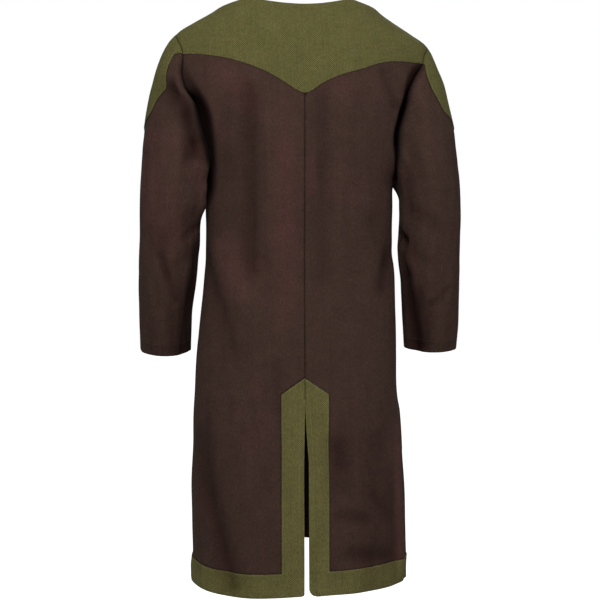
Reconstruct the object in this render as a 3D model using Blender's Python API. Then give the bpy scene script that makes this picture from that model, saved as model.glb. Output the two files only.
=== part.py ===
"""A worn long-sleeved tunic: dark brown cloth with an olive yoke, sleeve caps, slit facings and hem band.

Metres, +Z up. The wearer faces -Y, with their left at +X, and the cloth is hollow where they stood.
The origin is the middle of the neck opening, level with the neck's side points, where the shoulders hold
the garment up.
An angle goes round the body from the centre back, in degrees, positive towards the wearer's left.
"""

from collections import namedtuple

import bmesh
import bpy
import numpy as np

# Cloth
WALL = 0.0015
TRIM_WALL = 0.0012
GAP = 0.0003
PANEL_WALL = (-WALL, 0.0)
LAID_ON_WALL = (GAP, GAP + TRIM_WALL)

# Grid counts: columns across a half body, rows up the side seam, and points round a sleeve
FACING_COLUMNS = 2
SIDE_COLUMNS = 10
BAND_ROWS = 2
SIDE_ROWS = 21
SHOULDER_COLUMNS = 4
YOKE_ROWS = 4
ARMHOLE_ROWS = 10
SLEEVE_POINTS = 2 * (YOKE_ROWS + ARMHOLE_ROWS)
CROWN_ROWS = 10
ARM_ROWS = 9
# Steps in a curve before it is cut into columns or rows
CLOSE_STEPS = 200
SHARP_ANGLE = 40.0

# Neck, hem band and slit
NAPE_DROP = 0.019
FRONT_NECK_DROP = 0.085
BAND_HEIGHT = 0.043
SLIT_TOP = -0.755
# Each edge of the slit swings open by this much over this height, faster towards the hem
SLIT_OPENINGS = {1: 0.0025, -1: 0.0060}
SLIT_OPENS_OVER = 0.110
SLIT_SWING = 1.3
FACING_WIDTH = 0.043
FACING_PEAK = -0.710
FACING_SHOULDER = -0.740
FACING_LAST_ROW_BELOW = 0.006

# The body as level sections: half-widths to the wearer's left and right, and depths behind and before them
Section = namedtuple("Section", "height left right back front")
BODY = (
    Section(0.000, 0.109, 0.101, 0.070, 0.074),
    Section(-0.013, 0.146, 0.138, 0.073, 0.076),
    Section(-0.028, 0.170, 0.157, 0.078, 0.078),
    Section(-0.044, 0.198, 0.180, 0.085, 0.081),
    Section(-0.066, 0.232, 0.214, 0.095, 0.087),
    Section(-0.084, 0.241, 0.240, 0.102, 0.092),
    Section(-0.112, 0.248, 0.246, 0.110, 0.101),
    Section(-0.165, 0.240, 0.236, 0.120, 0.114),
    Section(-0.235, 0.215, 0.210, 0.126, 0.127),
    Section(-0.290, 0.194, 0.191, 0.128, 0.132),
    Section(-0.335, 0.180, 0.177, 0.127, 0.133),
    Section(-0.397, 0.179, 0.176, 0.124, 0.132),
    Section(-0.473, 0.179, 0.175, 0.120, 0.129),
    Section(-0.530, 0.183, 0.180, 0.119, 0.128),
    Section(-0.587, 0.187, 0.181, 0.122, 0.129),
    Section(-0.682, 0.197, 0.183, 0.129, 0.132),
    Section(-0.758, 0.200, 0.185, 0.134, 0.136),
    Section(-0.834, 0.204, 0.188, 0.139, 0.139),
    Section(-0.910, 0.206, 0.193, 0.144, 0.142),
    Section(-0.986, 0.204, 0.197, 0.149, 0.146),
    Section(-1.062, 0.201, 0.199, 0.153, 0.149),
    Section(-1.115, 0.203, 0.200, 0.155, 0.150),
)
SQUARENESS = 2.2

# The hem's height round the body
Hem = namedtuple("Hem", "angle height")
HEM = (
    Hem(-225, -1.054),
    Hem(-180, -1.040),
    Hem(-135, -1.054),
    Hem(-90, -1.088),
    Hem(-50, -1.098),
    Hem(0, -1.103),
    Hem(50, -1.107),
    Hem(90, -1.091),
    Hem(135, -1.054),
    Hem(180, -1.040),
    Hem(225, -1.054),
)

# Each armhole from the shoulder tip to the side seam, as half-widths of the back and the front at a height.
# The yoke's lower seams meet it at the row of that name.
Armhole = namedtuple("Armhole", "height back front")
ARMHOLES = {
    1: (
        Armhole(-0.0665, 0.2330, 0.2330),
        Armhole(-0.0860, 0.2300, 0.2290),
        Armhole(-0.1115, 0.2225, 0.2200),
        Armhole(-0.1600, 0.2180, 0.2080),
        Armhole(-0.2075, 0.2070, 0.1920),
        Armhole(-0.2500, 0.1920, 0.1760),
        Armhole(-0.2900, 0.1780, 0.1650),
        Armhole(-0.3190, 0.1740, 0.1660),
        Armhole(-0.3350, 0.1800, 0.1800),
    ),
    -1: (
        Armhole(-0.0836, 0.2420, 0.2420),
        Armhole(-0.1010, 0.2360, 0.2350),
        Armhole(-0.1245, 0.2276, 0.2250),
        Armhole(-0.1685, 0.2150, 0.2060),
        Armhole(-0.2100, 0.2010, 0.1880),
        Armhole(-0.2500, 0.1880, 0.1750),
        Armhole(-0.2900, 0.1760, 0.1650),
        Armhole(-0.3190, 0.1710, 0.1640),
        Armhole(-0.3350, 0.1770, 0.1770),
    ),
}
YOKE_JOIN = 2

# The yoke's lower seams between the armholes, as heights at distances from the middle
Seam = namedtuple("Seam", "across height")
BACK_YOKE_SEAM = (
    Seam(-0.173, -0.1255),
    Seam(-0.143, -0.1305),
    Seam(-0.104, -0.1440),
    Seam(-0.069, -0.1550),
    Seam(-0.034, -0.1710),
    Seam(-0.016, -0.1840),
    Seam(0.000, -0.1900),
    Seam(0.016, -0.1840),
    Seam(0.040, -0.1680),
    Seam(0.071, -0.1500),
    Seam(0.099, -0.1380),
    Seam(0.141, -0.1242),
    Seam(0.189, -0.1150),
)
FRONT_YOKE_SEAM = (
    Seam(-0.140, -0.1400),
    Seam(-0.070, -0.1530),
    Seam(0.000, -0.1570),
    Seam(0.070, -0.1530),
    Seam(0.140, -0.1350),
)

# Each sleeve below its crown as tilted rings: the inner and outer side, the middle and half of its depth,
# and how far the ring's back and its outer side lie below its middle
Ring = namedtuple("Ring", "height inner outer middle half_depth back_dip outer_dip")
SLEEVES = {
    1: (
        Ring(-0.390, 0.1805, 0.3020, 0.030, 0.066, 0.000, 0.000),
        Ring(-0.420, 0.1885, 0.3025, 0.025, 0.065, 0.000, 0.000),
        Ring(-0.470, 0.1905, 0.3040, 0.015, 0.061, 0.003, 0.000),
        Ring(-0.530, 0.1945, 0.3050, 0.003, 0.058, 0.006, 0.000),
        Ring(-0.587, 0.2020, 0.3035, -0.012, 0.055, 0.009, 0.000),
        Ring(-0.625, 0.2040, 0.3030, -0.023, 0.053, 0.011, 0.000),
        Ring(-0.662, 0.2050, 0.3020, -0.034, 0.049, 0.012, 0.000),
    ),
    -1: (
        Ring(-0.385, 0.1870, 0.3040, 0.018, 0.066, 0.000, 0.000),
        Ring(-0.420, 0.1885, 0.3050, 0.016, 0.065, 0.000, 0.000),
        Ring(-0.470, 0.1865, 0.3050, 0.010, 0.061, 0.003, 0.000),
        Ring(-0.530, 0.1910, 0.3050, 0.001, 0.058, 0.006, 0.000),
        Ring(-0.587, 0.1960, 0.3045, -0.013, 0.055, 0.008, 0.000),
        Ring(-0.625, 0.2000, 0.3050, -0.022, 0.053, 0.010, 0.000),
        Ring(-0.658, 0.2025, 0.3040, -0.031, 0.050, 0.010, 0.000),
    ),
}

# How the sleeve leaves the armhole, outwards, backwards and down: at its top, which differs with the
# shoulder's slope, at its back, where it doubles back into a crease, at its front and at the underarm.
# It arrives at its first ring straight down.
Leaving = namedtuple("Leaving", "out back down")
CROWN_TOPS = {1: Leaving(0.190, 0.000, 0.160), -1: Leaving(0.085, 0.000, 0.110)}
CROWN_BACK = Leaving(0.010, 0.150, 0.090)
CROWN_FRONT = Leaving(0.100, -0.080, 0.100)
CROWN_UNDER = Leaving(0.012, 0.000, 0.060)
# The strengths of that arrival
CROWN_END_TOPS = {1: 0.100, -1: 0.250}
CROWN_END_UNDER = 0.050

# The outline of a sleeve cap from the side, from the yoke's corner down to its tip
CapEdge = namedtuple("CapEdge", "half_depth height")
CAP_OUTLINES = {
    1: (
        CapEdge(0.0500, -0.1140),
        CapEdge(0.0509, -0.1234),
        CapEdge(0.0569, -0.1455),
        CapEdge(0.0605, -0.1616),
        CapEdge(0.0610, -0.1790),
        CapEdge(0.0530, -0.1960),
        CapEdge(0.0460, -0.2190),
        CapEdge(0.0280, -0.2340),
        CapEdge(0.0000, -0.2500),
    ),
    -1: (
        CapEdge(0.0500, -0.1260),
        CapEdge(0.0530, -0.1307),
        CapEdge(0.0586, -0.1465),
        CapEdge(0.0627, -0.1657),
        CapEdge(0.0641, -0.1808),
        CapEdge(0.0601, -0.2064),
        CapEdge(0.0500, -0.2190),
        CapEdge(0.0273, -0.2320),
        CapEdge(0.0000, -0.2470),
    ),
}
CAP_COLUMNS = 6
CAP_ROWS = 8
CAP_POINTS = 24
# The cutter for that outline, above the yoke's corner and outwards from it
CUTTER_TOP = 0.0
CUTTER_HALF_DEPTH = 0.090
CUTTER_LENGTH = 0.120

# The largest folds: a soft ridge, or a trough where the rise is negative, along a line between two places
Fold = namedtuple("Fold", "angle height end_angle end_height width rise")
BODY_FOLDS = (
    Fold(37, -0.200, 35, -0.520, 0.016, -0.004),
    Fold(-14, -0.210, -16, -0.520, 0.018, -0.003),
    Fold(27, -0.250, 26, -0.500, 0.016, 0.003),
    Fold(80, -0.480, 56, -0.570, 0.018, -0.006),
    Fold(56, -0.570, 53, -0.660, 0.018, -0.005),
    Fold(70, -0.530, 44, -0.640, 0.016, 0.005),
    Fold(-72, -0.490, -66, -0.545, 0.014, -0.006),
    Fold(76, -0.830, 62, -0.950, 0.020, -0.006),
    Fold(62, -0.950, 45, -1.090, 0.020, -0.008),
    Fold(60, -1.000, 57, -1.110, 0.016, 0.005),
    Fold(-24, -0.830, -26, -0.900, 0.020, -0.004),
    Fold(-53, -0.830, -44, -1.090, 0.020, -0.006),
    Fold(-66, -0.900, -64, -1.090, 0.018, -0.005),
    Fold(-80, -0.780, -78, -1.040, 0.020, 0.005),
    Fold(150, -0.250, 152, -0.560, 0.020, -0.004),
    Fold(-158, -0.300, -150, -0.640, 0.020, -0.004),
    Fold(110, -0.520, 134, -0.600, 0.018, -0.006),
    Fold(-112, -0.500, -130, -0.580, 0.018, -0.005),
    Fold(140, -0.800, 146, -1.060, 0.022, -0.007),
    Fold(-172, -0.850, -176, -1.050, 0.022, -0.005),
    Fold(-136, -0.820, -142, -1.060, 0.020, -0.006),
)
SLEEVE_FOLDS = {
    1: (
        Fold(95, -0.130, 115, -0.300, 0.013, -0.008),
        Fold(120, -0.150, 142, -0.340, 0.012, 0.013),
        Fold(130, -0.420, 70, -0.475, 0.012, -0.005),
        Fold(150, -0.470, 90, -0.520, 0.012, -0.004),
        Fold(250, -0.400, 290, -0.460, 0.013, -0.005),
    ),
    -1: (
        Fold(0, -0.165, 0, -0.240, 0.022, 0.005),
        Fold(98, -0.160, 115, -0.300, 0.013, -0.006),
        Fold(120, -0.170, 140, -0.340, 0.012, 0.011),
        Fold(140, -0.400, 90, -0.430, 0.012, -0.005),
        Fold(150, -0.470, 100, -0.500, 0.012, -0.004),
        Fold(245, -0.410, 285, -0.470, 0.013, -0.005),
    ),
}
MEAN_BODY_RADIUS = 0.165
MEAN_SLEEVE_RADIUS = 0.060
# A sleeve's folds grow over its first rows, as its armhole is shared with the body
FOLD_START_ROWS = 3

# Steps to either side of a place that give the cloth's normal there
ANGLE_STEP = 0.5
HEIGHT_STEP = 0.001

# How quickly a panel's rows stop following the shape of its side borders
SIDE_FADE = 2.5

BROWN = (0.046, 0.026, 0.021, 1.0)
OLIVE = (0.105, 0.095, 0.036, 1.0)
CLOTH_ROUGHNESS = 0.9


def column(rows, name):
    return np.array([getattr(row, name) for row in rows], float)


def curve_through(knots, values, at):
    """Smooth curve through the values at rising knots, flat beyond its ends."""
    knots = np.asarray(knots, float)
    values = np.asarray(values, float)
    at = np.clip(np.asarray(at, float), knots[0], knots[-1])
    slopes = np.gradient(values, knots, axis=0)
    start = np.clip(np.searchsorted(knots, at) - 1, 0, len(knots) - 2)
    span = knots[start + 1] - knots[start]
    t = (at - knots[start]) / span
    if values.ndim > 1:
        span, t = span[..., None], t[..., None]
    return (
        values[start] * (1 + 2 * t) * (1 - t) ** 2
        + slopes[start] * span * t * (1 - t) ** 2
        + values[start + 1] * t**2 * (3 - 2 * t)
        - slopes[start + 1] * span * t**2 * (1 - t)
    )


def down_table(rows, name, height):
    """One column of a table that runs downwards, read at any height."""
    return curve_through(column(rows, "height")[::-1], column(rows, name)[::-1], height)


def fold_relief(folds, angle, height, radius):
    """How far the folds lift or sink the cloth, with places measured on the cloth laid out flat."""
    relief = np.zeros(np.broadcast(angle, height).shape)
    for fold in folds:
        along = np.radians((fold.end_angle - fold.angle)) * radius
        rise = fold.end_height - fold.height
        length_squared = along**2 + rise**2
        across = np.radians((angle - fold.angle + 180) % 360 - 180) * radius
        up = height - fold.height
        t = np.clip((across * along + up * rise) / length_squared, 0, 1)
        distance_squared = (across - t * along) ** 2 + (up - t * rise) ** 2
        relief += fold.rise * np.exp(-distance_squared / (2 * fold.width**2))
    return relief


def plain_radius(angle, height):
    """Distance of the unfolded cloth from the body's axis: a quarter of a soft rectangle in each quadrant."""
    turn = np.radians(angle)
    side = np.where(np.sin(turn) >= 0, down_table(BODY, "left", height), down_table(BODY, "right", height))
    depth = np.where(np.cos(turn) >= 0, down_table(BODY, "back", height), down_table(BODY, "front", height))
    across = np.abs(np.sin(turn)) / side
    along = np.abs(np.cos(turn)) / depth
    return (across**SQUARENESS + along**SQUARENESS) ** (-1 / SQUARENESS)


def body_point(angle, height):
    angle, height = np.broadcast_arrays(np.asarray(angle, float), np.asarray(height, float))
    radius = plain_radius(angle, height)
    radius = radius + fold_relief(BODY_FOLDS, angle, height, MEAN_BODY_RADIUS)
    turn = np.radians(angle)
    return np.stack([radius * np.sin(turn), radius * np.cos(turn), height], axis=-1)


def angle_at(across, height, behind=True):
    """The angle at which the back, or the front, is this far to the left (+) or right (-) of the middle."""
    side = 1.0 if across >= 0 else -1.0
    near, far = 0.0, 90.0
    for _ in range(40):
        middle = (near + far) / 2
        turned = middle if behind else 180 - middle
        reach = plain_radius(side * turned, height) * np.sin(np.radians(middle))
        near, far = (middle, far) if reach < abs(across) else (near, middle)
    return side * (far if behind else 180 - far)


def hem_height(angle):
    turned = (np.asarray(angle, float) + 180) % 360 - 180
    return curve_through(column(HEM, "angle"), column(HEM, "height"), turned)


def neckline(behind):
    """Places along one half of the neckline, closely spaced, from the left neck point to the right one."""
    places = []
    for turn in np.radians(np.linspace(90, -90, CLOSE_STEPS + 1)[1:-1]):
        half_width = BODY[0].left if turn >= 0 else BODY[0].right
        drop = NAPE_DROP if behind else FRONT_NECK_DROP
        height = -drop * np.cos(turn) ** 2
        angle = angle_at(half_width * np.sin(turn), height, behind)
        places.append((angle if behind else angle % 360, height))
    return np.array([(90.0, 0.0), *places, (-90.0 if behind else 270.0, 0.0)])


def evenly(points, count):
    """The curve through the places (angle, height), cut into this many equal lengths of cloth."""
    points = np.asarray(points, float)
    spots = body_point(points[:, 0], points[:, 1])
    lengths = np.linalg.norm(np.diff(spots, axis=0), axis=1)
    travelled = np.concatenate([[0], np.cumsum(lengths)])
    stops = np.linspace(0, travelled[-1], count + 1)
    return np.stack([np.interp(stops, travelled, points[:, i]) for i in (0, 1)], axis=1)


def armhole_half(side, behind):
    """(angle, height) down half of an armhole: from the shoulder tip to the yoke, and on to the underarm."""
    rows = ARMHOLES[side]
    last = len(rows) - 1
    knots = []
    for index, row in enumerate(rows):
        across = row.back if behind else row.front
        if index in (0, last):
            knots.append((side * 90, row.height))
        else:
            knots.append((angle_at(side * across, row.height, behind), row.height))
    # Mirrored first and last legs keep the armhole round where its two halves meet
    second, before_last = knots[1], knots[last - 1]
    padded = [(side * 180 - second[0], second[1]), *knots, (side * 180 - before_last[0], before_last[1])]
    steps = np.arange(-1, last + 2)
    upper = curve_through(steps, padded, np.linspace(0, YOKE_JOIN, CLOSE_STEPS + 1))
    lower = curve_through(steps, padded, np.linspace(YOKE_JOIN, last, CLOSE_STEPS + 1))
    return evenly(upper, YOKE_ROWS), evenly(lower, ARMHOLE_ROWS)


def up_a_line(start, end):
    """Fractions of the way from the hem to a panel's top: the hem band's rows first, then even steps."""
    band = np.linspace(0, BAND_HEIGHT, BAND_ROWS + 1)
    steps = SIDE_ROWS + ARMHOLE_ROWS - BAND_ROWS
    return np.concatenate([start + band, np.linspace(start + BAND_HEIGHT, end, steps + 1)[1:]])


def up_a_side(angle, armhole):
    """(angle, height) up a side seam and on round the armhole to the yoke."""
    bottom = hem_height(angle)
    band = np.linspace(bottom, bottom + BAND_HEIGHT, BAND_ROWS + 1)
    seam = np.linspace(bottom + BAND_HEIGHT, armhole[-1][1], SIDE_ROWS - BAND_ROWS + 1)[1:]
    heights = np.concatenate([band, seam])
    side_seam = np.stack([np.full(len(heights), angle, float), heights], axis=1)
    return np.concatenate([side_seam, armhole[::-1][1:]])


def seam_between(seam, start, end, behind):
    """Places along a yoke seam from one armhole to the other, closely spaced."""
    inner = [(angle_at(spot.across, spot.height, behind) % 360, spot.height) for spot in seam]
    if behind:
        inner = [((angle + 180) % 360 - 180, height) for angle, height in inner]
    inner.sort(reverse=bool(start[0] > end[0]))
    places = np.array([start, *inner, end])
    steps = np.linspace(0, len(places) - 1, CLOSE_STEPS + 1)
    return curve_through(np.arange(len(places)), places, steps)


def patch(bottom, top, left, right, fractions):
    """Grid of places in four borders: straight up by the rows' fractions, and bent to meet the sides."""
    t = np.linspace(0, 1, len(bottom))[None, :, None]
    v = np.asarray(fractions)[:, None, None]
    straight = (1 - v) * np.asarray(bottom)[None] + v * np.asarray(top)[None]
    bend_left = np.asarray(left)[:, None] - straight[:, :1]
    bend_right = np.asarray(right)[:, None] - straight[:, -1:]
    return straight + bend_left * (1 - t) ** SIDE_FADE + bend_right * t**SIDE_FADE


def fractions_of(heights):
    return (heights - heights[0]) / (heights[-1] - heights[0])


def keep_band_level(places):
    """Sets the hem band's rows to one height above the hem all round."""
    for row in range(BAND_ROWS + 1):
        places[row, :, 1] = hem_height(places[row, :, 0]) + BAND_HEIGHT * row / BAND_ROWS


def slit_edge(side, height):
    """How far the slit's edge has opened from the centre back."""
    share = np.clip((SLIT_TOP - np.asarray(height, float)) / SLIT_OPENS_OVER, 0, 1)
    return side * (GAP / 2 + SLIT_OPENINGS[side] * share**SLIT_SWING)


def back_seam_places(side):
    """The back yoke seam cut into the columns of one half of the back, from the centre outwards."""
    whole = seam_between(BACK_YOKE_SEAM, armhole_half(-1, True)[0][-1], armhole_half(1, True)[0][-1], True)
    half = whole[whole[:, 0] * side > 0]
    half = half[np.argsort(np.abs(half[:, 0]))]
    middle = np.array([[0.0, BACK_YOKE_SEAM[len(BACK_YOKE_SEAM) // 2].height]])
    half = np.concatenate([middle, half])
    across = body_point(half[:, 0], half[:, 1])[:, 0] * side
    corner = [np.interp(FACING_WIDTH, across, half[:, i]) for i in (0, 1)]
    inner = evenly(np.concatenate([half[across < FACING_WIDTH], [corner]]), FACING_COLUMNS)
    outer = evenly(np.concatenate([[corner], half[across > FACING_WIDTH]]), SIDE_COLUMNS)
    return inner, outer


def back_half(side):
    """Places of one half of the back: rows from the hem to the yoke, columns from the centre to the side."""
    inner, outer = back_seam_places(side)
    armhole = armhole_half(side, True)[1]
    facing_hem = angle_at(side * FACING_WIDTH, hem_height(0.0))
    hem_angles = np.linspace(facing_hem, side * 90, SIDE_COLUMNS + 1)
    hem = np.stack([hem_angles, hem_height(hem_angles)], axis=1)
    centre_heights = up_a_line(hem_height(0.0), inner[0][1])
    facing_heights = up_a_line(hem[0][1], inner[-1][1])
    strip = []
    for centre_height, facing_height in zip(centre_heights, facing_heights, strict=True):
        edge = slit_edge(side, centre_height)
        row = []
        for share in np.linspace(0, 1, FACING_COLUMNS + 1):
            height = centre_height + share * (facing_height - centre_height)
            row.append((angle_at(edge + share * (side * FACING_WIDTH - edge), height), height))
        strip.append(row)
    strip = np.array(strip)
    strip[-1] = inner
    strip[-1, 0, 0] = strip[-2, 0, 0]
    line = strip[:, -1]
    rest = patch(hem, outer, line, up_a_side(side * 90, armhole), fractions_of(line[:, 1]))
    keep_band_level(rest)
    return np.concatenate([strip, rest[:, 1:]], axis=1)


def front_places():
    """Places of the front: rows from the hem to the yoke, columns from the left side to the right side."""
    left, right = armhole_half(1, False), armhole_half(-1, False)
    right = [np.stack([half[:, 0] % 360, half[:, 1]], axis=1) for half in right]
    seam = seam_between(FRONT_YOKE_SEAM, left[0][-1], right[0][-1], False)
    columns = 2 * (FACING_COLUMNS + SIDE_COLUMNS)
    hem_angles = np.linspace(90, 270, columns + 1)
    hem = np.stack([hem_angles, hem_height(hem_angles)], axis=1)
    middle = up_a_line(hem_height(180.0), FRONT_YOKE_SEAM[len(FRONT_YOKE_SEAM) // 2].height)
    sides = up_a_side(90.0, left[1]), up_a_side(270.0, right[1])
    places = patch(hem, evenly(seam, columns), *sides, fractions_of(middle))
    keep_band_level(places)
    return places


def yoke_places(behind):
    """Places of a yoke: rows from its lower seam to the neck, columns from the left armhole to the right."""
    left, right = armhole_half(1, behind), armhole_half(-1, behind)
    if behind:
        outer_left, inner_left = back_seam_places(1)[::-1]
        inner_right, outer_right = back_seam_places(-1)
        bottom = np.concatenate([outer_left[::-1], inner_left[::-1][1:], inner_right[1:], outer_right[1:]])
        neck_angles = (90.0, -90.0)
    else:
        right = [np.stack([half[:, 0] % 360, half[:, 1]], axis=1) for half in right]
        columns = 2 * (FACING_COLUMNS + SIDE_COLUMNS)
        bottom = evenly(seam_between(FRONT_YOKE_SEAM, left[0][-1], right[0][-1], False), columns)
        neck_angles = (90.0, 270.0)
    tips = (left[0][0][1], right[0][0][1])
    shoulders = []
    for angle, tip in zip(neck_angles, tips, strict=True):
        heights = np.linspace(tip, 0.0, CLOSE_STEPS + 1)
        line = np.stack([np.full(len(heights), angle), heights], axis=1)
        shoulders.append(evenly(line, SHOULDER_COLUMNS))
    neck = evenly(neckline(behind), len(bottom) - 1 - 2 * SHOULDER_COLUMNS)
    top = np.concatenate([shoulders[0], neck[1:], shoulders[1][::-1][1:]])
    return patch(bottom, top, left[0][::-1], right[0][::-1], np.linspace(0, 1, YOKE_ROWS + 1))


def armhole_loop(side):
    """(angle, height) round a whole armhole, from the shoulder tip down the back and up the front."""
    back, front = armhole_half(side, True), armhole_half(side, False)
    down_back = np.concatenate([back[0], back[1][1:]])
    down_front = np.concatenate([front[0], front[1][1:]])
    return np.concatenate([down_back, down_front[::-1][1:-1]])


def sleeve_grid(side):
    """Points of a sleeve: rows from the armhole to the cuff, columns from its outer side round the back."""
    loop = armhole_loop(side)
    start = body_point(loop[:, 0], loop[:, 1])
    start[:, 0] = side * start[:, 0]
    turn = np.radians(np.arange(SLEEVE_POINTS) * 360 / SLEEVE_POINTS)
    # How far each point lies towards the top, the front or back, and the underarm
    top = np.clip(np.cos(turn), 0, 1) ** 2
    under = np.clip(-np.cos(turn), 0, 1) ** 2
    behind = np.clip(np.sin(turn), 0, 1) ** 2
    before = np.clip(-np.sin(turn), 0, 1) ** 2
    shares = ((top, CROWN_TOPS[side]), (behind, CROWN_BACK), (before, CROWN_FRONT), (under, CROWN_UNDER))
    leaving = sum(share[:, None] * np.array([way.out, way.back, -way.down]) for share, way in shares)
    arriving = np.zeros_like(leaving)
    arriving[:, 2] = -(CROWN_END_UNDER + (CROWN_END_TOPS[side] - CROWN_END_UNDER) * (1 + np.cos(turn)) / 2)
    rings = SLEEVES[side]
    heights = np.linspace(rings[0].height, rings[-1].height, ARM_ROWS + 1)
    arm = np.array([sleeve_ring(rings, height, turn) for height in heights])
    t = np.linspace(0, 1, CROWN_ROWS + 1)[:, None, None]
    crown = (
        start * (1 + 2 * t) * (1 - t) ** 2
        + leaving * t * (1 - t) ** 2
        + arm[0] * t**2 * (3 - 2 * t)
        - arriving * t**2 * (1 - t)
    )
    grid = np.concatenate([crown, arm[1:]])
    grid = grid + sleeve_relief(side, grid)
    grid[..., 0] = side * grid[..., 0]
    return grid


def sleeve_ring(rings, height, turn):
    """One tilted ring round the arm, as if on the left side."""
    inner = down_table(rings, "inner", height)
    outer = down_table(rings, "outer", height)
    across = (outer + inner) / 2 + (outer - inner) / 2 * np.cos(turn)
    along = down_table(rings, "middle", height) + down_table(rings, "half_depth", height) * np.sin(turn)
    dip = down_table(rings, "back_dip", height) * np.sin(turn)
    dip = dip + down_table(rings, "outer_dip", height) * np.cos(turn)
    return np.stack([across, along, height - dip], axis=1)


def sleeve_relief(side, grid):
    """Shifts that the sleeve's folds give its points, away from the arm's axis and nothing at the armhole."""
    turn = np.radians(np.arange(SLEEVE_POINTS) * 360 / SLEEVE_POINTS)
    relief = fold_relief(SLEEVE_FOLDS[side], np.degrees(turn)[None], grid[..., 2], MEAN_SLEEVE_RADIUS)
    relief *= np.clip(np.arange(len(grid))[:, None] / FOLD_START_ROWS, 0, 1)
    outward = np.stack([np.cos(turn), np.sin(turn), np.zeros_like(turn)], axis=1)
    return relief[..., None] * outward[None]


def body_normals(angle, height):
    """Unit normals of the body's cloth, facing out, from places close by."""
    turned = body_point(angle + ANGLE_STEP, height) - body_point(angle - ANGLE_STEP, height)
    raised = body_point(angle, height + HEIGHT_STEP) - body_point(angle, height - HEIGHT_STEP)
    normals = np.cross(raised, turned)
    return normals / np.linalg.norm(normals, axis=-1, keepdims=True)


def sleeve_normals(side, grid):
    """Unit normals of a sleeve's grid, facing out, from its neighbours along rows and columns."""
    around = np.roll(grid, -1, axis=1) - np.roll(grid, 1, axis=1)
    normals = side * np.cross(np.gradient(grid, axis=0), around)
    normals /= np.linalg.norm(normals, axis=-1, keepdims=True)
    # Where the sleeve runs on from the body its first row takes the body's normals, so the walls don't cross
    loop = armhole_loop(side)
    shared = body_normals(loop[:, 0], loop[:, 1])
    agreement = np.clip(np.sum(shared * normals[0], axis=1, keepdims=True), 0, 1)
    normals[0] += agreement * (shared - normals[0])
    return normals / np.linalg.norm(normals, axis=-1, keepdims=True)


def drawn_in(grid, rows=(True, True), columns=(True, True)):
    """The grid with the borders named drawn in by half of a seam's gap."""
    grid = grid.copy()
    for axis, ends in ((0, rows), (1, columns)):
        lines = np.moveaxis(grid, axis, 0)
        for end, drawn in zip((0, -1), ends, strict=True):
            if drawn:
                towards = lines[1 if end == 0 else -2] - lines[end]
                towards = towards / np.linalg.norm(towards, axis=-1, keepdims=True)
                lines[end] += towards * GAP / 2
    return grid


def cloth_material(name, colour):
    material = bpy.data.materials.new(name)
    material.use_nodes = True
    shader = material.node_tree.nodes["Principled BSDF"]
    shader.inputs["Base Color"].default_value = colour
    shader.inputs["Roughness"].default_value = CLOTH_ROUGHNESS
    shader.inputs["Metallic"].default_value = 0.0
    return material


def cloth_piece(name, surface, normals, wall, material, closed=False):
    """An object for one piece: the wall between two offsets of a grid of points, wall = (inner, outer)."""
    rows, columns = surface.shape[:2]
    steps = [(start, (start + 1) % columns) for start in range(columns if closed else columns - 1)]
    mesh = bmesh.new()
    layers = []
    for offset in wall:
        layers.append([[mesh.verts.new(point) for point in row] for row in surface + normals * offset])
    inner, outer = layers
    squares = []
    for layer in layers:
        for near, far in zip(layer[:-1], layer[1:], strict=True):
            squares += [(near[start], near[end], far[end], far[start]) for start, end in steps]
    for row in (0, rows - 1):
        for start, end in steps:
            squares.append((outer[row][start], outer[row][end], inner[row][end], inner[row][start]))
    if not closed:
        for end in (0, columns - 1):
            for row in range(rows - 1):
                squares.append((outer[row][end], outer[row + 1][end], inner[row + 1][end], inner[row][end]))
    for a, b, c, d in squares:
        mesh.faces.new((a, b, c))
        mesh.faces.new((a, c, d))
    bmesh.ops.recalc_face_normals(mesh, faces=mesh.faces)
    for face in mesh.faces:
        face.smooth = True
    data = bpy.data.meshes.new(name)
    mesh.to_mesh(data)
    mesh.free()
    data.set_sharp_from_angle(angle=np.radians(SHARP_ANGLE))
    data.materials.append(material)
    piece = bpy.data.objects.new(name, data)
    bpy.data.collections["tunic"].objects.link(piece)
    return piece


def slit_facing(surface, normals):
    """A facing's points and normals: the panel's first columns up to a slanted top."""
    tops = np.linspace(FACING_PEAK, FACING_SHOULDER, FACING_COLUMNS + 1)
    highest = FACING_SHOULDER - FACING_LAST_ROW_BELOW
    whole_rows = int(np.searchsorted(surface[:, FACING_COLUMNS, 2], highest))
    found = []
    for grid in (surface, normals):
        slanted = []
        for column_index, top in enumerate(tops):
            heights = surface[:, column_index, 2]
            slanted.append([np.interp(top, heights, grid[:, column_index, axis]) for axis in range(3)])
        found.append(np.concatenate([grid[:whole_rows, : FACING_COLUMNS + 1], [slanted]]))
    return found


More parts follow.
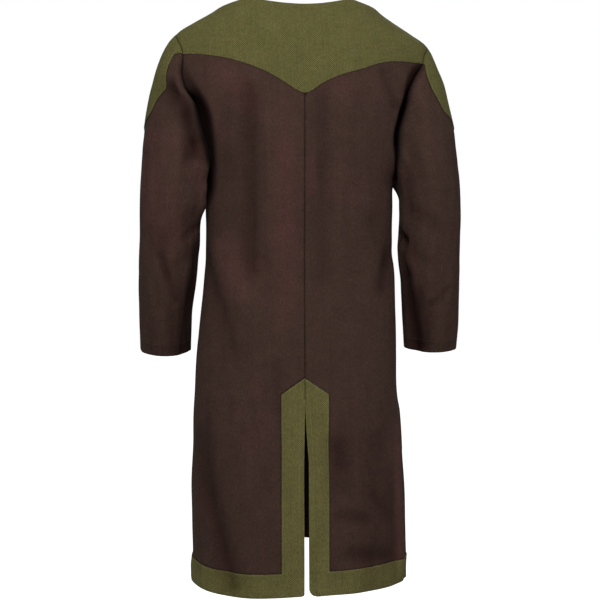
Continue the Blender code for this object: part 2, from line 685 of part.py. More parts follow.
def cap_cutter(name, side):
    """A prism across the sleeve head with the cap's outline."""
    rows = CAP_OUTLINES[side]
    steps = np.linspace(0, len(rows) - 1, CAP_POINTS)
    outline = [tuple(place) for place in curve_through(np.arange(len(rows)), rows, steps)]
    outline = [(CUTTER_HALF_DEPTH, CUTTER_TOP), (CUTTER_HALF_DEPTH, outline[0][1]), *outline]
    corners = outline + [(-depth, height) for depth, height in outline[-2::-1]]
    start = side * ARMHOLES[side][YOKE_JOIN].back
    mesh = bmesh.new()
    ring = [mesh.verts.new((start, depth, height)) for depth, height in corners]
    base = mesh.faces.new(ring)
    moved = bmesh.ops.extrude_face_region(mesh, geom=[base])["geom"]
    reach = [item for item in moved if isinstance(item, bmesh.types.BMVert)]
    bmesh.ops.translate(mesh, verts=reach, vec=(side * CUTTER_LENGTH, 0, 0))
    bmesh.ops.recalc_face_normals(mesh, faces=mesh.faces)
    data = bpy.data.meshes.new(name)
    mesh.to_mesh(data)
    mesh.free()
    cutter = bpy.data.objects.new(name, data)
    cutter.hide_render = True
    cutter.display_type = "WIRE"
    bpy.data.collections["cutters"].objects.link(cutter)
    return cutter


def make_back_half(side, word, brown, olive):
    places = back_half(side)
    surface = body_point(places[..., 0], places[..., 1])
    normals = body_normals(places[..., 0], places[..., 1])
    surface = drawn_in(surface, rows=(False, True), columns=(False, True))
    cloth_piece(f"back_{word}", surface, normals, PANEL_WALL, brown)

    facing, facing_normals = slit_facing(surface, normals)
    facing = drawn_in(facing, rows=(False, False), columns=(False, True))
    cloth_piece(f"slit_facing_{word}", facing, facing_normals, LAID_ON_WALL, olive)

    band = surface[: BAND_ROWS + 1, FACING_COLUMNS:]
    band = drawn_in(band, rows=(False, False), columns=(True, False))
    band_normals = normals[: BAND_ROWS + 1, FACING_COLUMNS:]
    cloth_piece(f"hem_band_back_{word}", band, band_normals, LAID_ON_WALL, olive)


def make_front(brown, olive):
    places = front_places()
    surface = body_point(places[..., 0], places[..., 1])
    normals = body_normals(places[..., 0], places[..., 1])
    surface = drawn_in(surface, rows=(False, True))
    cloth_piece("front", surface, normals, PANEL_WALL, brown)
    band, band_normals = surface[: BAND_ROWS + 1], normals[: BAND_ROWS + 1]
    cloth_piece("hem_band_front", band, band_normals, LAID_ON_WALL, olive)


def make_yokes(olive):
    for word, behind in (("back", True), ("front", False)):
        places = yoke_places(behind)
        surface = drawn_in(body_point(places[..., 0], places[..., 1]))
        normals = body_normals(places[..., 0], places[..., 1])
        cloth_piece(f"{word}_yoke", surface, normals, PANEL_WALL, olive)


def make_sleeve(side, word, brown, olive):
    surface = sleeve_grid(side)
    normals = sleeve_normals(side, surface)
    surface = drawn_in(surface, rows=(True, False), columns=(False, False))
    cloth_piece(f"sleeve_{word}", surface, normals, PANEL_WALL, brown, closed=True)

    head = np.arange(-CAP_COLUMNS, CAP_COLUMNS + 1) % SLEEVE_POINTS
    patch_surface, patch_normals = surface[: CAP_ROWS + 1, head], normals[: CAP_ROWS + 1, head]
    cap = cloth_piece(f"sleeve_cap_{word}", patch_surface, patch_normals, LAID_ON_WALL, olive)
    outline = cap.modifiers.new("Outline", "BOOLEAN")
    outline.operation = "INTERSECT"
    outline.object = cap_cutter(f"cap_outline_{word}", side)


def main():
    for item in list(bpy.data.objects):
        bpy.data.objects.remove(item, do_unlink=True)
    for name in ("tunic", "cutters"):
        bpy.context.scene.collection.children.link(bpy.data.collections.new(name))
    brown = cloth_material("brown cloth", BROWN)
    olive = cloth_material("olive cloth", OLIVE)
    for side, word in ((1, "left"), (-1, "right")):
        make_back_half(side, word, brown, olive)
        make_sleeve(side, word, brown, olive)
    make_front(brown, olive)
    make_yokes(olive)


main()
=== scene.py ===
"""The looks of a worn tunic: thin cloth shells on its solids, with their weave, sewing and fine creases.

Metres, +Z up, apart from the tables, whose lengths are in millimetres. The wearer faces -Y, with their left
at +X. An angle goes round the body from the centre back, in degrees, positive towards the wearer's left, and
on a sleeve from its outer side round by the back. A place is an angle and a height.
"""

from collections import namedtuple

import bpy
import numpy as np
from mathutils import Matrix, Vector
from mathutils.bvhtree import BVHTree
from mathutils.kdtree import KDTree


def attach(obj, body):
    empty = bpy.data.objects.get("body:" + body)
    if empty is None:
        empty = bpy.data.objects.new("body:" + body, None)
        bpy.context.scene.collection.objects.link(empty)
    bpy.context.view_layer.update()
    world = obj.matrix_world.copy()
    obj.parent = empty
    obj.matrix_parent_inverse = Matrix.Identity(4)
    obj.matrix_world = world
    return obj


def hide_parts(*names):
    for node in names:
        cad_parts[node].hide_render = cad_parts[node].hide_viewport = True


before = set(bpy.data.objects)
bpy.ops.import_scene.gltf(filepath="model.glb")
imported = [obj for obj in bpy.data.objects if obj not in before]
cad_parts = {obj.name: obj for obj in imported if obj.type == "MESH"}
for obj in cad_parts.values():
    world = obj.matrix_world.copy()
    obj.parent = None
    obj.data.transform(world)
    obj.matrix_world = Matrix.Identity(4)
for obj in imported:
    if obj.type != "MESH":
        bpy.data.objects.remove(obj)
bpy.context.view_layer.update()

# Cloth: each wall's inner and outer face, measured outwards from the form of its panel
WALL = 0.0015
TRIM_WALL = 0.0012
GAP = 0.0003
PANEL_WALL = (-WALL, 0.0)
YOKE_WALL = (-WALL, 0.0004)
LAID_ON_WALL = (GAP, GAP + TRIM_WALL)
# A cap starts thin at the armhole and rises over this length to lie on the sleeve
CAP_START_WALL = (0.0001, 0.0006)
CAP_RISES_OVER = 0.012

# Grid counts, several for each of the solids' own
FACING_COLUMNS = 8
SIDE_COLUMNS = 64
FRONT_COLUMNS = 2 * (FACING_COLUMNS + SIDE_COLUMNS)
BAND_ROWS = 24
SIDE_ROWS = 157
SHOULDER_COLUMNS = 24
YOKE_ROWS = 30
ARMHOLE_ROWS = 50
HEAD_POINTS = 20
SLEEVE_POINTS = 2 * (HEAD_POINTS + ARMHOLE_ROWS)
SLEEVE_ANGLES = np.arange(SLEEVE_POINTS) * 360 / SLEEVE_POINTS
CROWN_ROWS = 60
ARM_ROWS = 54
CAP_COLUMNS = 80
CAP_ROWS = 30
CAP_OUTLINE_STEPS = 60
FACING_TOP_ROWS = 6

# How closely curves are followed, how often a search halves its range, and the step along a line
CLOSE_STEPS = 400
HALVINGS = 40
LINE_STEP = 0.0008
# This part of a row keeps a place off a grid's very last one
HAIR = 0.001
# A long way for soft lines, which stands for a line that isn't there
FAR = 1.0
# Edges that bend more than this, in degrees, stay sharp
SHARP_ANGLE = 40.0

# Neck, hem band and slit
NAPE_DROP = 0.019
FRONT_NECK_DROP = 0.085
BAND_HEIGHT = 0.043
SLIT_TOP = -0.755
# How far each side of the slit opens, over how long a way down and how late, and its round hem corners
SLIT_OPENINGS = {1: 0.0025, -1: 0.0060}
SLIT_OPENS_OVER = 0.110
SLIT_SWING = 1.3
SLIT_CORNERS = {1: 0.005, -1: 0.014}
FACING_WIDTH = 0.043
# The facing's slanted top, from the centre back out, and how far below it the panel's own rows end
FACING_PEAK = -0.710
FACING_SHOULDER = -0.740
FACING_LAST_ROW_BELOW = 0.006
# How far beyond the trim's edge the painted shadow that it casts on the panel lies
TRIM_SHADOW = 0.0009
# How far out a line starts that looks for the sleeve's outer side
OUTSIDE = 0.5

# The sewing
STITCH_STEP = 0.0040
STITCH_LENGTH = 0.0029
STITCH_RADIUS = 0.00030
STITCH_SIDES = 5
Bead = namedtuple("Bead", "along thickness lift")
STITCH_RINGS = (
    Bead(0.00, 0.30, -0.80),
    Bead(0.15, 0.85, 0.00),
    Bead(0.50, 1.00, 0.40),
    Bead(0.85, 0.85, 0.00),
    Bead(1.00, 0.30, -0.80),
)
HEM_STITCH_INSET = 0.0055
EDGE_STITCH_INSET = 0.0022
SLIT_STITCH_INSET = 0.0090
NECK_STITCH_INSET = 0.0060
CUFF_STITCH_INSET = 0.0230

# The weave: the width of its stripes, the pitch of its ribs, how far it wanders, and the gap between stripes
WEAVE_COLUMN = 0.0120
WEAVE_PITCH = 0.0040
WEAVE_WANDER = 0.0012
COLUMN_GAP = 0.0006
# The noises that make the cloth uneven: how far each is drawn together across and up the cloth, and its
# scale, detail and seed
Grain = namedtuple("Grain", "across up scale detail seed")
GRAINS = {
    "wander": Grain(1.0, 1.0, 90.0, 2.0, 0.0),
    "threads": Grain(1.0, 1.0, 2200.0, 2.0, 0.0),
    "fuzz": Grain(1.0, 1.0, 500.0, 4.0, 3.0),
    "slubs": Grain(1.6, 1.0, 190.0, 2.0, 5.0),
    "blotches": Grain(1.0, 1.0, 28.0, 3.0, 7.0),
    "streaks": Grain(4.0, 0.6, 14.0, 3.0, 11.0),
    "warmth": Grain(2.0, 1.0, 7.0, 2.0, 13.0),
    "pucker": Grain(1.0, 1.0, 170.0, 2.0, 17.0),
    "mottle": Grain(1.0, 1.0, 75.0, 3.0, 19.0),
    "ripples": Grain(1.0, 1.0, 45.0, 3.0, 23.0),
}
THREAD_GRAIN = Grain(1.0, 1.0, 900.0, 2.0, 0.0)
PAPER_GRAIN = Grain(1.0, 1.0, 3.0, 2.0, 0.0)

# What the layers of the weave add to the share of light yarn, to the tone, and to the height in metres
YARN_LAYERS = {"fuzz": 0.60, "slubs": 1.10, "threads": 0.30}
TONE_LAYERS = {"blotches": 0.30, "mottle": 0.30}
HEIGHT_LAYERS = {"gap": -0.00010, "threads": 0.00010, "fuzz": 0.00022, "ripples": 0.00140}
GAP_DARKENS = -0.15
RIB_HEIGHT = 0.00016
PLAIN_RIB = 0.5
WARM_NOISE = 1.5
# The tint of warmer patches: the wool's own uneven warmth, and painted highlights
WARM_HIGHLIGHT_TINT = (1.28, 1.08, 1.19)
# Painted shade in folds and creases: the tint that it draws the yarn towards, and how much darker it makes
# the tone
HOLLOW_SHADE_TINT = (0.20, 0.08, 0.06)
HOLLOW_SHADE = -0.20
DARKEST_TONE = 0.05
BUMP_STRENGTH = 0.9
WOOL_FINISH = {"Roughness": 0.88, "Specular IOR Level": 0.05, "Sheen Weight": 0.01, "Sheen Roughness": 0.55}
THREAD_BUMP = 0.0002

# Soft lines along the cloth's seams, rims and stitch rows: how wide each is, and what it adds at its middle
Line = namedtuple("Line", "mark width amount")
# The seams' dark lines are partly the seams' own and partly painted shadow beside the yoke's, trims' and
# caps' edges; rims are drawn lighter
TONE_LINES = (
    Line("seam", 0.0022, -0.30),
    Line("seam", 0.0009, -0.40),
    Line("stitching", 0.0010, -0.12),
    Line("rim", 0.0012, 0.12),
)
HEIGHT_LINES = (
    Line("seam", 0.0016, -0.00070),
    Line("rim", 0.0010, -0.00040),
    Line("stitching", 0.0009, -0.00045),
)
PUCKER_LINES = (Line("seam", 0.0090, 0.00160), Line("stitching", 0.0070, 0.00160))

# The wools: the dark and light of the yarn, the thread, how strongly the herringbone and the streaks show,
# and the warmth of their patches and painted highlights. The hem band and the facings wear a paler copy of
# the yoke's and the caps' olive, which paints light on them.
Wool = namedtuple("Wool", "name slot dark light thread contrast streaks warmth")
WOOLS = (
    Wool(
        "brown",
        "brown_cloth",
        dark=(0.032, 0.018, 0.0135),
        light=(0.072, 0.040, 0.0315),
        thread=(0.060, 0.034, 0.026),
        contrast=0.45,
        streaks=0.30,
        warmth=1.0,
    ),
    Wool(
        "olive",
        "olive_cloth",
        dark=(0.057, 0.053, 0.0155),
        light=(0.139, 0.129, 0.048),
        thread=(0.128, 0.117, 0.046),
        contrast=0.90,
        streaks=0.20,
        warmth=0.2,
    ),
    # A paler copy of the olive, which paints light on the hem band and the facings
    Wool(
        "trim",
        "olive_cloth",
        dark=(0.067, 0.061, 0.0185),
        light=(0.163, 0.149, 0.057),
        thread=(0.145, 0.132, 0.054),
        contrast=0.80,
        streaks=0.45,
        warmth=0.4,
    ),
)

# The camera, the lights and the room
MIDDLE = (0.0, 0.0, -0.568)
CAMERA_PLACE = (0.2093, 2.9927, -0.568)
CAMERA_LENS = 94.74
CAMERA_SENSOR = 36.0
FLOOR = -1.56
STAGE_REACH = 30.0
WHITE = (1.0, 1.0, 1.0)
PAPER_COLOUR = (0.45, 0.45, 0.45)
PAPER_GLOW = 0.95
PAPER_ROUGHNESS = 0.9
THREAD_ROUGHNESS = 0.7
# The tone of thread and paper, from its least to its most
THREAD_TONES = (0.75, 1.25)
PAPER_TONES = (0.98, 1.00)
WORLD_LIGHT = 0.24
WORLD_TOP_LIGHT = 0.16
Light = namedtuple("Light", "name place size power")
LIGHTS = (
    Light("key", (0.5, 2.1, 1.25), 1.2, 48.0),
    Light("left", (2.4, 1.8, 0.8), 1.6, 6.0),
    Light("right", (-2.2, 1.9, 0.2), 1.6, 16.0),
    Light("front", (-0.6, -2.4, 0.9), 1.8, 30.0),
)

# The tables' columns that aren't lengths
PLAIN_COLUMNS = {"angle", "end_angle", "share"}
MILLIMETRES = 1000


def table(kind, *rows):
    """Rows of a table, with their lengths turned from millimetres into metres."""
    units = [1 if name in PLAIN_COLUMNS else MILLIMETRES for name in kind._fields]
    return [kind(*(value / unit for value, unit in zip(row, units, strict=True))) for row in rows]


# The body as level sections: half-widths to the wearer's left and right, and depths behind and before them
Section = namedtuple("Section", "height left right back front")
BODY = table(
    Section,
    (0, 109, 101, 70, 74),
    (-13, 146, 138, 73, 76),
    (-28, 170, 157, 78, 78),
    (-44, 198, 180, 85, 81),
    (-66, 232, 214, 95, 87),
    (-84, 241, 240, 102, 92),
    (-112, 248, 246, 110, 101),
    (-165, 240, 236, 120, 114),
    (-235, 215, 210, 126, 127),
    (-290, 194, 191, 128, 132),
    (-335, 180, 177, 127, 133),
    (-397, 179, 176, 124, 132),
    (-473, 179, 175, 120, 129),
    (-530, 183, 180, 119, 128),
    (-587, 187, 181, 122, 129),
    (-682, 197, 183, 129, 132),
    (-758, 200, 185, 134, 136),
    (-834, 204, 188, 139, 139),
    (-910, 206, 193, 144, 142),
    (-986, 204, 197, 149, 146),
    (-1062, 201, 199, 153, 149),
    (-1115, 203, 200, 155, 150),
)
SQUARENESS = 2.2

Hem = namedtuple("Hem", "angle height")
HEM = table(
    Hem,
    (-225, -1054),
    (-180, -1040),
    (-135, -1054),
    (-90, -1088),
    (-50, -1098),
    (0, -1103),
    (50, -1107),
    (90, -1091),
    (135, -1054),
    (180, -1040),
    (225, -1054),
)

# Each armhole from the shoulder tip to the side seam, as half-widths of the back and the front at a height.
# The yoke's lower seams meet it at the row of that name.
Armhole = namedtuple("Armhole", "height back front")
ARMHOLES = {
    1: table(
        Armhole,
        (-66.5, 233, 233),
        (-86, 230, 229),
        (-111.5, 222.5, 220),
        (-160, 218, 208),
        (-207.5, 207, 192),
        (-250, 192, 176),
        (-290, 178, 165),
        (-319, 174, 166),
        (-335, 180, 180),
    ),
    -1: table(
        Armhole,
        (-83.6, 242, 242),
        (-101, 236, 235),
        (-124.5, 227.6, 225),
        (-168.5, 215, 206),
        (-210, 201, 188),
        (-250, 188, 175),
        (-290, 176, 165),
        (-319, 171, 164),
        (-335, 177, 177),
    ),
}
YOKE_JOIN = 2

# The yoke's lower seams between the armholes, as heights at distances from the middle
Seam = namedtuple("Seam", "across height")
BACK_YOKE_SEAM = table(
    Seam,
    (-173, -125.5),
    (-143, -130.5),
    (-104, -144),
    (-69, -155),
    (-34, -171),
    (-16, -184),
    (0, -190),
    (16, -184),
    (40, -168),
    (71, -150),
    (99, -138),
    (141, -124.2),
    (189, -115),
)
FRONT_YOKE_SEAM = table(
    Seam,
    (-140, -140),
    (-70, -153),
    (0, -157),
    (70, -153),
    (140, -135),
)

# Each sleeve below its crown as tilted rings: the inner and outer side, the middle and half of its depth,
# and how far the ring's back lies below its middle
Ring = namedtuple("Ring", "height inner outer middle half_depth back_dip")
SLEEVES = {
    1: table(
        Ring,
        (-390, 180.5, 302, 30, 66, 0),
        (-420, 188.5, 302.5, 25, 65, 0),
        (-470, 190.5, 304, 15, 61, 3),
        (-530, 194.5, 305, 3, 58, 6),
        (-587, 202, 303.5, -12, 55, 9),
        (-625, 204, 303, -23, 53, 11),
        (-662, 205, 302, -34, 49, 12),
    ),
    -1: table(
        Ring,
        (-385, 187, 304, 18, 66, 0),
        (-420, 188.5, 305, 16, 65, 0),
        (-470, 186.5, 305, 10, 61, 3),
        (-530, 191, 305, 1, 58, 6),
        (-587, 196, 304.5, -13, 55, 8),
        (-625, 200, 305, -22, 53, 10),
        (-658, 202.5, 304, -31, 50, 10),
    ),
}

# How the sleeve leaves the armhole, outwards, backwards and down: at its top, which differs with the
# shoulder's slope, at its back, where it doubles back into a crease, at its front and at the underarm.
# It arrives at its first ring straight down. These are in metres.
Leaving = namedtuple("Leaving", "out back down")
CROWN_TOPS = {1: Leaving(0.190, 0.000, 0.160), -1: Leaving(0.085, 0.000, 0.110)}
CROWN_BACK = Leaving(0.010, 0.150, 0.090)
CROWN_FRONT = Leaving(0.100, -0.080, 0.100)
CROWN_UNDER = Leaving(0.012, 0.000, 0.060)
CROWN_END_TOPS = {1: 0.100, -1: 0.250}
CROWN_END_UNDER = 0.050

# The outline of a sleeve cap from the side, from the yoke's corner down to its tip
CapEdge = namedtuple("CapEdge", "half_depth height")
CAP_OUTLINES = {
    1: table(
        CapEdge,
        (50, -114),
        (50.9, -123.4),
        (56.9, -145.5),
        (60.5, -161.6),
        (61, -179),
        (53, -196),
        (46, -219),
        (28, -234),
        (0, -250),
    ),
    -1: table(
        CapEdge,
        (50, -126),
        (53, -130.7),
        (58.6, -146.5),
        (62.7, -165.7),
        (64.1, -180.8),
        (60.1, -206.4),
        (50, -219),
        (27.3, -232),
        (0, -247),
    ),
}

# Folds: a soft ridge, or a trough where the rise is negative, along a line between two places
Fold = namedtuple("Fold", "angle height end_angle end_height width rise")
BODY_FOLDS = table(
    Fold,
    (41, -200, 43, -520, 16, -4),
    (-14, -210, -16, -520, 18, -3),
    (27, -250, 26, -500, 16, 3),
    (80, -500, 64, -572, 16, -4.5),
    (60, -605, 54, -665, 16, -3),
    (68, -480, 46, -590, 18, 5),
    (-72, -490, -66, -545, 14, -6),
    (76, -830, 65, -930, 20, -6),
    (59, -973, 47, -1090, 18, -5),
    (-24, -830, -26, -900, 20, -4),
    (-53, -830, -44, -1090, 20, -4),
    (-66, -900, -64, -1090, 18, -3),
    (-80, -780, -78, -1040, 20, 5),
    (150, -250, 152, -560, 20, -4),
    (-158, -300, -150, -640, 20, -4),
    (110, -520, 134, -600, 18, -6),
    (-112, -500, -130, -580, 18, -5),
    (140, -800, 146, -1060, 22, -7),
    (-172, -850, -176, -1050, 22, -5),
    (-136, -820, -142, -1060, 20, -6),
)
SLEEVE_FOLDS = {
    1: table(
        Fold,
        (95, -130, 115, -300, 13, -8),
        (120, -150, 131, -256, 10, 10),
        (130, -420, 70, -475, 12, -2),
        (150, -470, 90, -520, 12, -2),
        (250, -400, 290, -460, 13, -5),
    ),
    -1: table(
        Fold,
        (0, -165, 0, -240, 22, 5),
        (98, -160, 115, -300, 13, -2),
        (120, -170, 136, -300, 10, 6),
        (140, -400, 90, -430, 12, -3.5),
        (150, -470, 100, -500, 12, -3),
        (245, -410, 285, -470, 13, -5),
    ),
}
# Fine creases that only the shells have
FINE_BODY_FOLDS = table(
    Fold,
    (42, -185, 45, -510, 10, -3),
    (28, -200, 28, -480, 12, 2.5),
    (56, -235, 58, -345, 11, -2),
    (-14, -200, -14, -345, 8, -2.2),
    (-30, -200, -28, -480, 12, 1.5),
    (-58, -150, -65, -208, 6, -5),
    (-60, -154, -66, -196, 5, 3),
    (-55, -420, -62, -460, 10, -2),
    (80, -508, 62, -590, 7, -1.2),
    (62, -592, 55, -655, 6, -1.2),
    (-84, -480, -72, -505, 10, -3),
    (69, -800, 65, -920, 9, -2.5),
    (64, -935, 60, -980, 9, -2.5),
    (58, -995, 49, -1090, 8, -4),
    (88, -1070, 86, -1085, 14, 4),
    (22, -695, 21, -770, 11, -3),
    (28, -890, 27, -910, 10, -2),
    (-25, -840, -28, -870, 12, -4),
    (-25, -962, -42, -972, 9, -4.5),
    (-51, -930, -60, -970, 10, -3.5),
    (-32, -1034, -62, -1044, 11, -5.5),
    (-72, -850, -70, -1080, 6, 4.5),
    (-67, -920, -66, -1020, 9, -2.5),
    (-79, -860, -78, -1090, 6, -3),
    (120, -170, 112, -240, 6, -4.5),
    (-122, -170, -113, -240, 6, -4.5),
    (155, -220, 156, -500, 11, -4.5),
    (-163, -220, -160, -500, 11, -4),
    (100, -490, 122, -560, 9, -6),
    (-100, -480, -120, -540, 9, -5),
    (120, -850, 134, -1090, 10, -7),
    (160, -880, 163, -1080, 10, -4.5),
    (-128, -850, -135, -1090, 10, -6),
    (-152, -900, -154, -1090, 10, -4.5),
)
FINE_SLEEVE_FOLDS = {
    1: table(
        Fold,
        (52, -176, 144, -296, 8.5, -7.5),
        (46, -180, 80, -224, 14, -6.5),
        (80, -180, 132, -262, 5, 4),
        (122, -278, 146, -310, 8, -6),
        (153, -366, 157, -395, 12, 6),
        (160, -430, 120, -455, 7, -4),
        (72, -490, 108, -570, 6, -5),
        (62, -500, 92, -580, 7, 2),
        (160, -490, 150, -665, 16, -6),
        (140, -560, 118, -665, 22, -4),
        (230, -430, 270, -480, 7, -4.5),
        (240, -500, 280, -520, 7, -4),
        (20, -300, 30, -450, 12, -2),
    ),
    -1: table(
        Fold,
        (138, -315, 142, -350, 14, -2),
        (171, -449, 156, -458, 8, -12),
        (165, -490, 150, -520, 10, -4),
        (160, -530, 136, -655, 16, -11),
        (134, -570, 122, -650, 20, -6),
        (95, -578, 58, -548, 6, -2),
        (95, -565, 60, -535, 6, 1.2),
        (230, -440, 270, -490, 7, -4.5),
        (240, -510, 285, -530, 7, -4),
        (25, -320, 32, -480, 12, -2),
    ),
}
# Patches along lines between two places where the brown wool is drawn warmer and lighter: painted highlights
# where ridges catch the light
Patch = namedtuple("Patch", "angle height end_angle end_height width share")
HIGHLIGHT_BODY_PATCHES = table(
    Patch,
    (15, -190, 17, -280, 13, 0.4),
    (16, -300, 17, -460, 16, 0.9),
    (14, -450, 17, -590, 18, 0.8),
    (-6, -310, -6, -365, 7, 0.8),
    (55, -150, 44, -200, 16, 0.9),
    (66, -200, 60, -260, 12, 0.5),
    (-24, -158, -31, -180, 18, 0.7),
    (60, -470, 52, -545, 20, 0.6),
    (36, -720, 35, -740, 8, 0.5),
    (-73, -800, -70, -1050, 9, 0.9),
    (72, -930, 70, -950, 12, 0.4),
    (162, -200, 166, -420, 18, 0.8),
    (205, -180, 212, -230, 20, 0.7),
    (140, -600, 146, -760, 18, 0.6),
    (222, -850, 226, -1020, 14, 0.7),
)
HIGHLIGHT_SLEEVE_PATCHES = {
    1: table(
        Patch,
        (40, -360, 100, -440, 24, 0.9),
        (20, -280, 50, -320, 16, 0.6),
        (120, -320, 140, -360, 12, 0.6),
        (0, -260, 350, -330, 12, 0.6),
        (260, -340, 290, -460, 20, 0.7),
    ),
    -1: table(
        Patch,
        (10, -300, 5, -420, 12, 0.6),
        (140, -480, 145, -560, 10, 0.7),
        (270, -300, 300, -420, 20, 0.7),
    ),
}
# The crease between each sleeve and the back: how far from the middle the back's edge of it lies, how far the
# sleeve's fold draws the seam inwards, and how far the cloth sinks between them
Crease = namedtuple("Crease", "height inner shift sink")
CREASES = {
    1: table(
        Crease,
        (-112, 222.5, 0, 0),
        (-120, 220, 0, 1),
        (-143, 212, -3.5, 4.5),
        (-161, 204.5, -4, 7.5),
        (-180, 194.5, 0, 13),
        (-198, 184.5, 11, 30),
        (-217, 176, 12, 36),
        (-235, 170.8, 10.5, 36),
        (-254, 168, 8.5, 35),
        (-272, 166, 6.5, 34),
        (-290, 164.5, 6, 33),
        (-328, 163.5, 2, 30),
        (-346, 163.5, 0, 28),
        (-365, 164.5, 0, 23),
        (-383, 168, 0, 12),
        (-400, 174, 0, 0),
    ),
    -1: table(
        Crease,
        (-124.5, 227.6, 0, 0),
        (-133, 211, 3, 9),
        (-143, 205, 6.5, 13),
        (-161, 197, 10, 14),
        (-180, 193.5, 12, 19),
        (-198, 190, 9, 29),
        (-217, 184, 8, 30),
        (-235, 179, 7, 26),
        (-254, 174.5, 6.5, 30),
        (-272, 172, 1, 30),
        (-290, 171, -5, 29),
        (-319, 169.5, -8, 28),
        (-335, 170, -5, 20),
        (-353, 172.5, 0, 0),
    ),
}
# How soft a crease's edge is, how far back it reaches its whole depth, and how far along the cloth it is felt
CREASE_EDGE = 0.0014
CREASE_STARTS_BEHIND = 0.040
BODY_SHIFT_WIDTH = 0.018
SLEEVE_SHIFT_WIDTH = 0.028
SLEEVE_SINK_WIDTH = 0.007
# A crease or a fold's trough of these depths gets the whole painted shade, and a ridge a little painted light
HOLLOW_CREASE = 0.030
HOLLOW_FOLD = 0.020
HOLLOW_LIMITS = (-0.15, 1.0)
# The inside of the garment gets this share of painted shade
INSIDE_SHADE = 0.7
# Folds lie on cloth laid out flat, where a degree is as wide as on a round form of these radii
MEAN_BODY_RADIUS = 0.165
MEAN_SLEEVE_RADIUS = 0.060
# A sleeve's folds grow over this share of its crown, as its armhole is shared with the body
FOLD_START = 0.3
# How fast the bends of a panel's sides die away towards its middle
SIDE_FADE = 2.5
# A sleeve's columns run from the underarm seam all round and back to it, by this one on its outer side
OUTER_COLUMN = SLEEVE_POINTS // 2

# Each piece laid flat, all round on a sleeve, in metres, and the node that it hangs from
Cut = namedtuple("Cut", "width length area hangs_from")

# Uneven cloth: waves round the body and down it, with their phases in degrees and their rises in metres
Wave = namedtuple("Wave", "round_turns down_per_metre phase rise")
WAVES = (
    Wave(5, 3.1, 40, 0.0007),
    Wave(9, -4.3, 200, 0.0005),
    Wave(14, 6.7, 310, 0.0004),
    Wave(23, -9.1, 80, 0.0002),
)


# Lines and curves


def column(rows, name):
    return np.array([getattr(row, name) for row in rows], float)


def pairs(first, second):
    return np.stack(np.broadcast_arrays(first, second), axis=-1)


def joined(first, *others):
    """Lines of points end to end, each of which starts where the one before it ends."""
    return np.concatenate([first, *(line[1:] for line in others)])


def unit(vectors):
    return vectors / np.linalg.norm(vectors, axis=-1, keepdims=True)


def read_at(stops, knots, rows):
    """Every column of the rows, read at stops between their rising knots."""
    return np.stack([np.interp(stops, knots, values) for values in np.transpose(rows)], axis=-1)


def travelled(grid, axis=0, parts=(0, 1, 2)):
    """Length from the first row (axis 0) or column (axis 1) to each point, in the directions named."""
    lengths = np.linalg.norm(np.diff(grid[..., parts], axis=axis), axis=-1)
    start = np.zeros_like(np.take(lengths, [0], axis=axis))
    return np.concatenate([start, np.cumsum(lengths, axis=axis)], axis=axis)


def cubic(t, start, leaving, end, arriving):
    """The way from start to end, with the slopes that it leaves and arrives with."""
    return (
        start * (1 + 2 * t) * (1 - t) ** 2
        + leaving * t * (1 - t) ** 2
        + end * t**2 * (3 - 2 * t)
        - arriving * t**2 * (1 - t)
    )


def curve_through(knots, values, at):
    """Smooth curve through the values at rising knots, flat beyond its ends."""
    knots = np.asarray(knots, float)
    values = np.asarray(values, float)
    at = np.clip(np.asarray(at, float), knots[0], knots[-1])
    slopes = np.gradient(values, knots, axis=0)
    start = np.clip(np.searchsorted(knots, at) - 1, 0, len(knots) - 2)
    span = knots[start + 1] - knots[start]
    t = (at - knots[start]) / span
    if values.ndim > 1:
        span, t = span[..., None], t[..., None]
    return cubic(t, values[start], slopes[start] * span, values[start + 1], slopes[start + 1] * span)


def down_table(rows, name, height):
    """One column of a table that runs downwards, read at any height."""
    return curve_through(column(rows, "height")[::-1], column(rows, name)[::-1], height)


def close_points(line):
    """A line of points cut into short steps."""
    gone = travelled(line)
    return read_at(np.linspace(0, gone[-1], int(gone[-1] / LINE_STEP) + 2), gone, line)


# The body's form


def fold_relief(folds, angle, height, radius):
    """How far the folds lift or sink the cloth, with places measured on the cloth laid out flat."""
    relief = np.zeros(np.broadcast(angle, height).shape)
    for start_angle, start_height, end_angle, end_height, width, rise in folds:
        along = np.radians(end_angle - start_angle) * radius
        climb = end_height - start_height
        across = np.radians((angle - start_angle + 180) % 360 - 180) * radius
        up = height - start_height
        t = np.clip((across * along + up * climb) / (along**2 + climb**2), 0, 1)
        distance_squared = (across - t * along) ** 2 + (up - t * climb) ** 2
        relief += rise * np.exp(-distance_squared / (2 * width**2))
    return relief


def wave_relief(angle, height):
    relief = np.zeros(np.broadcast(angle, height).shape)
    for wave in WAVES:
        turn = np.radians(wave.round_turns * angle + wave.phase) + 2 * np.pi * wave.down_per_metre * height
        relief += wave.rise * np.sin(turn)
    return relief


def plain_radius(angle, height):
    """Distance of the unfolded cloth from the body's axis: a quarter of a soft rectangle in each quadrant."""
    turn = np.radians(angle)
    side = np.where(np.sin(turn) >= 0, down_table(BODY, "left", height), down_table(BODY, "right", height))
    depth = np.where(np.cos(turn) >= 0, down_table(BODY, "back", height), down_table(BODY, "front", height))
    across = np.abs(np.sin(turn)) / side
    along = np.abs(np.cos(turn)) / depth
    return (across**SQUARENESS + along**SQUARENESS) ** (-1 / SQUARENESS)


def body_folds(angle, height):
    return fold_relief(BODY_FOLDS + FINE_BODY_FOLDS, angle, height, MEAN_BODY_RADIUS)


def body_point(places):
    angle, height = places[..., 0], places[..., 1]
    radius = plain_radius(angle, height) + body_folds(angle, height) + wave_relief(angle, height)
    turn = np.radians(angle)
    return np.stack([radius * np.sin(turn), radius * np.cos(turn), height], axis=-1)


def side_angle(side, behind):
    """The angle of a side, as the back counts it, from -90 to 90, or the front, from 90 to 270."""
    return side * 90.0 if behind else side * 90.0 % 360


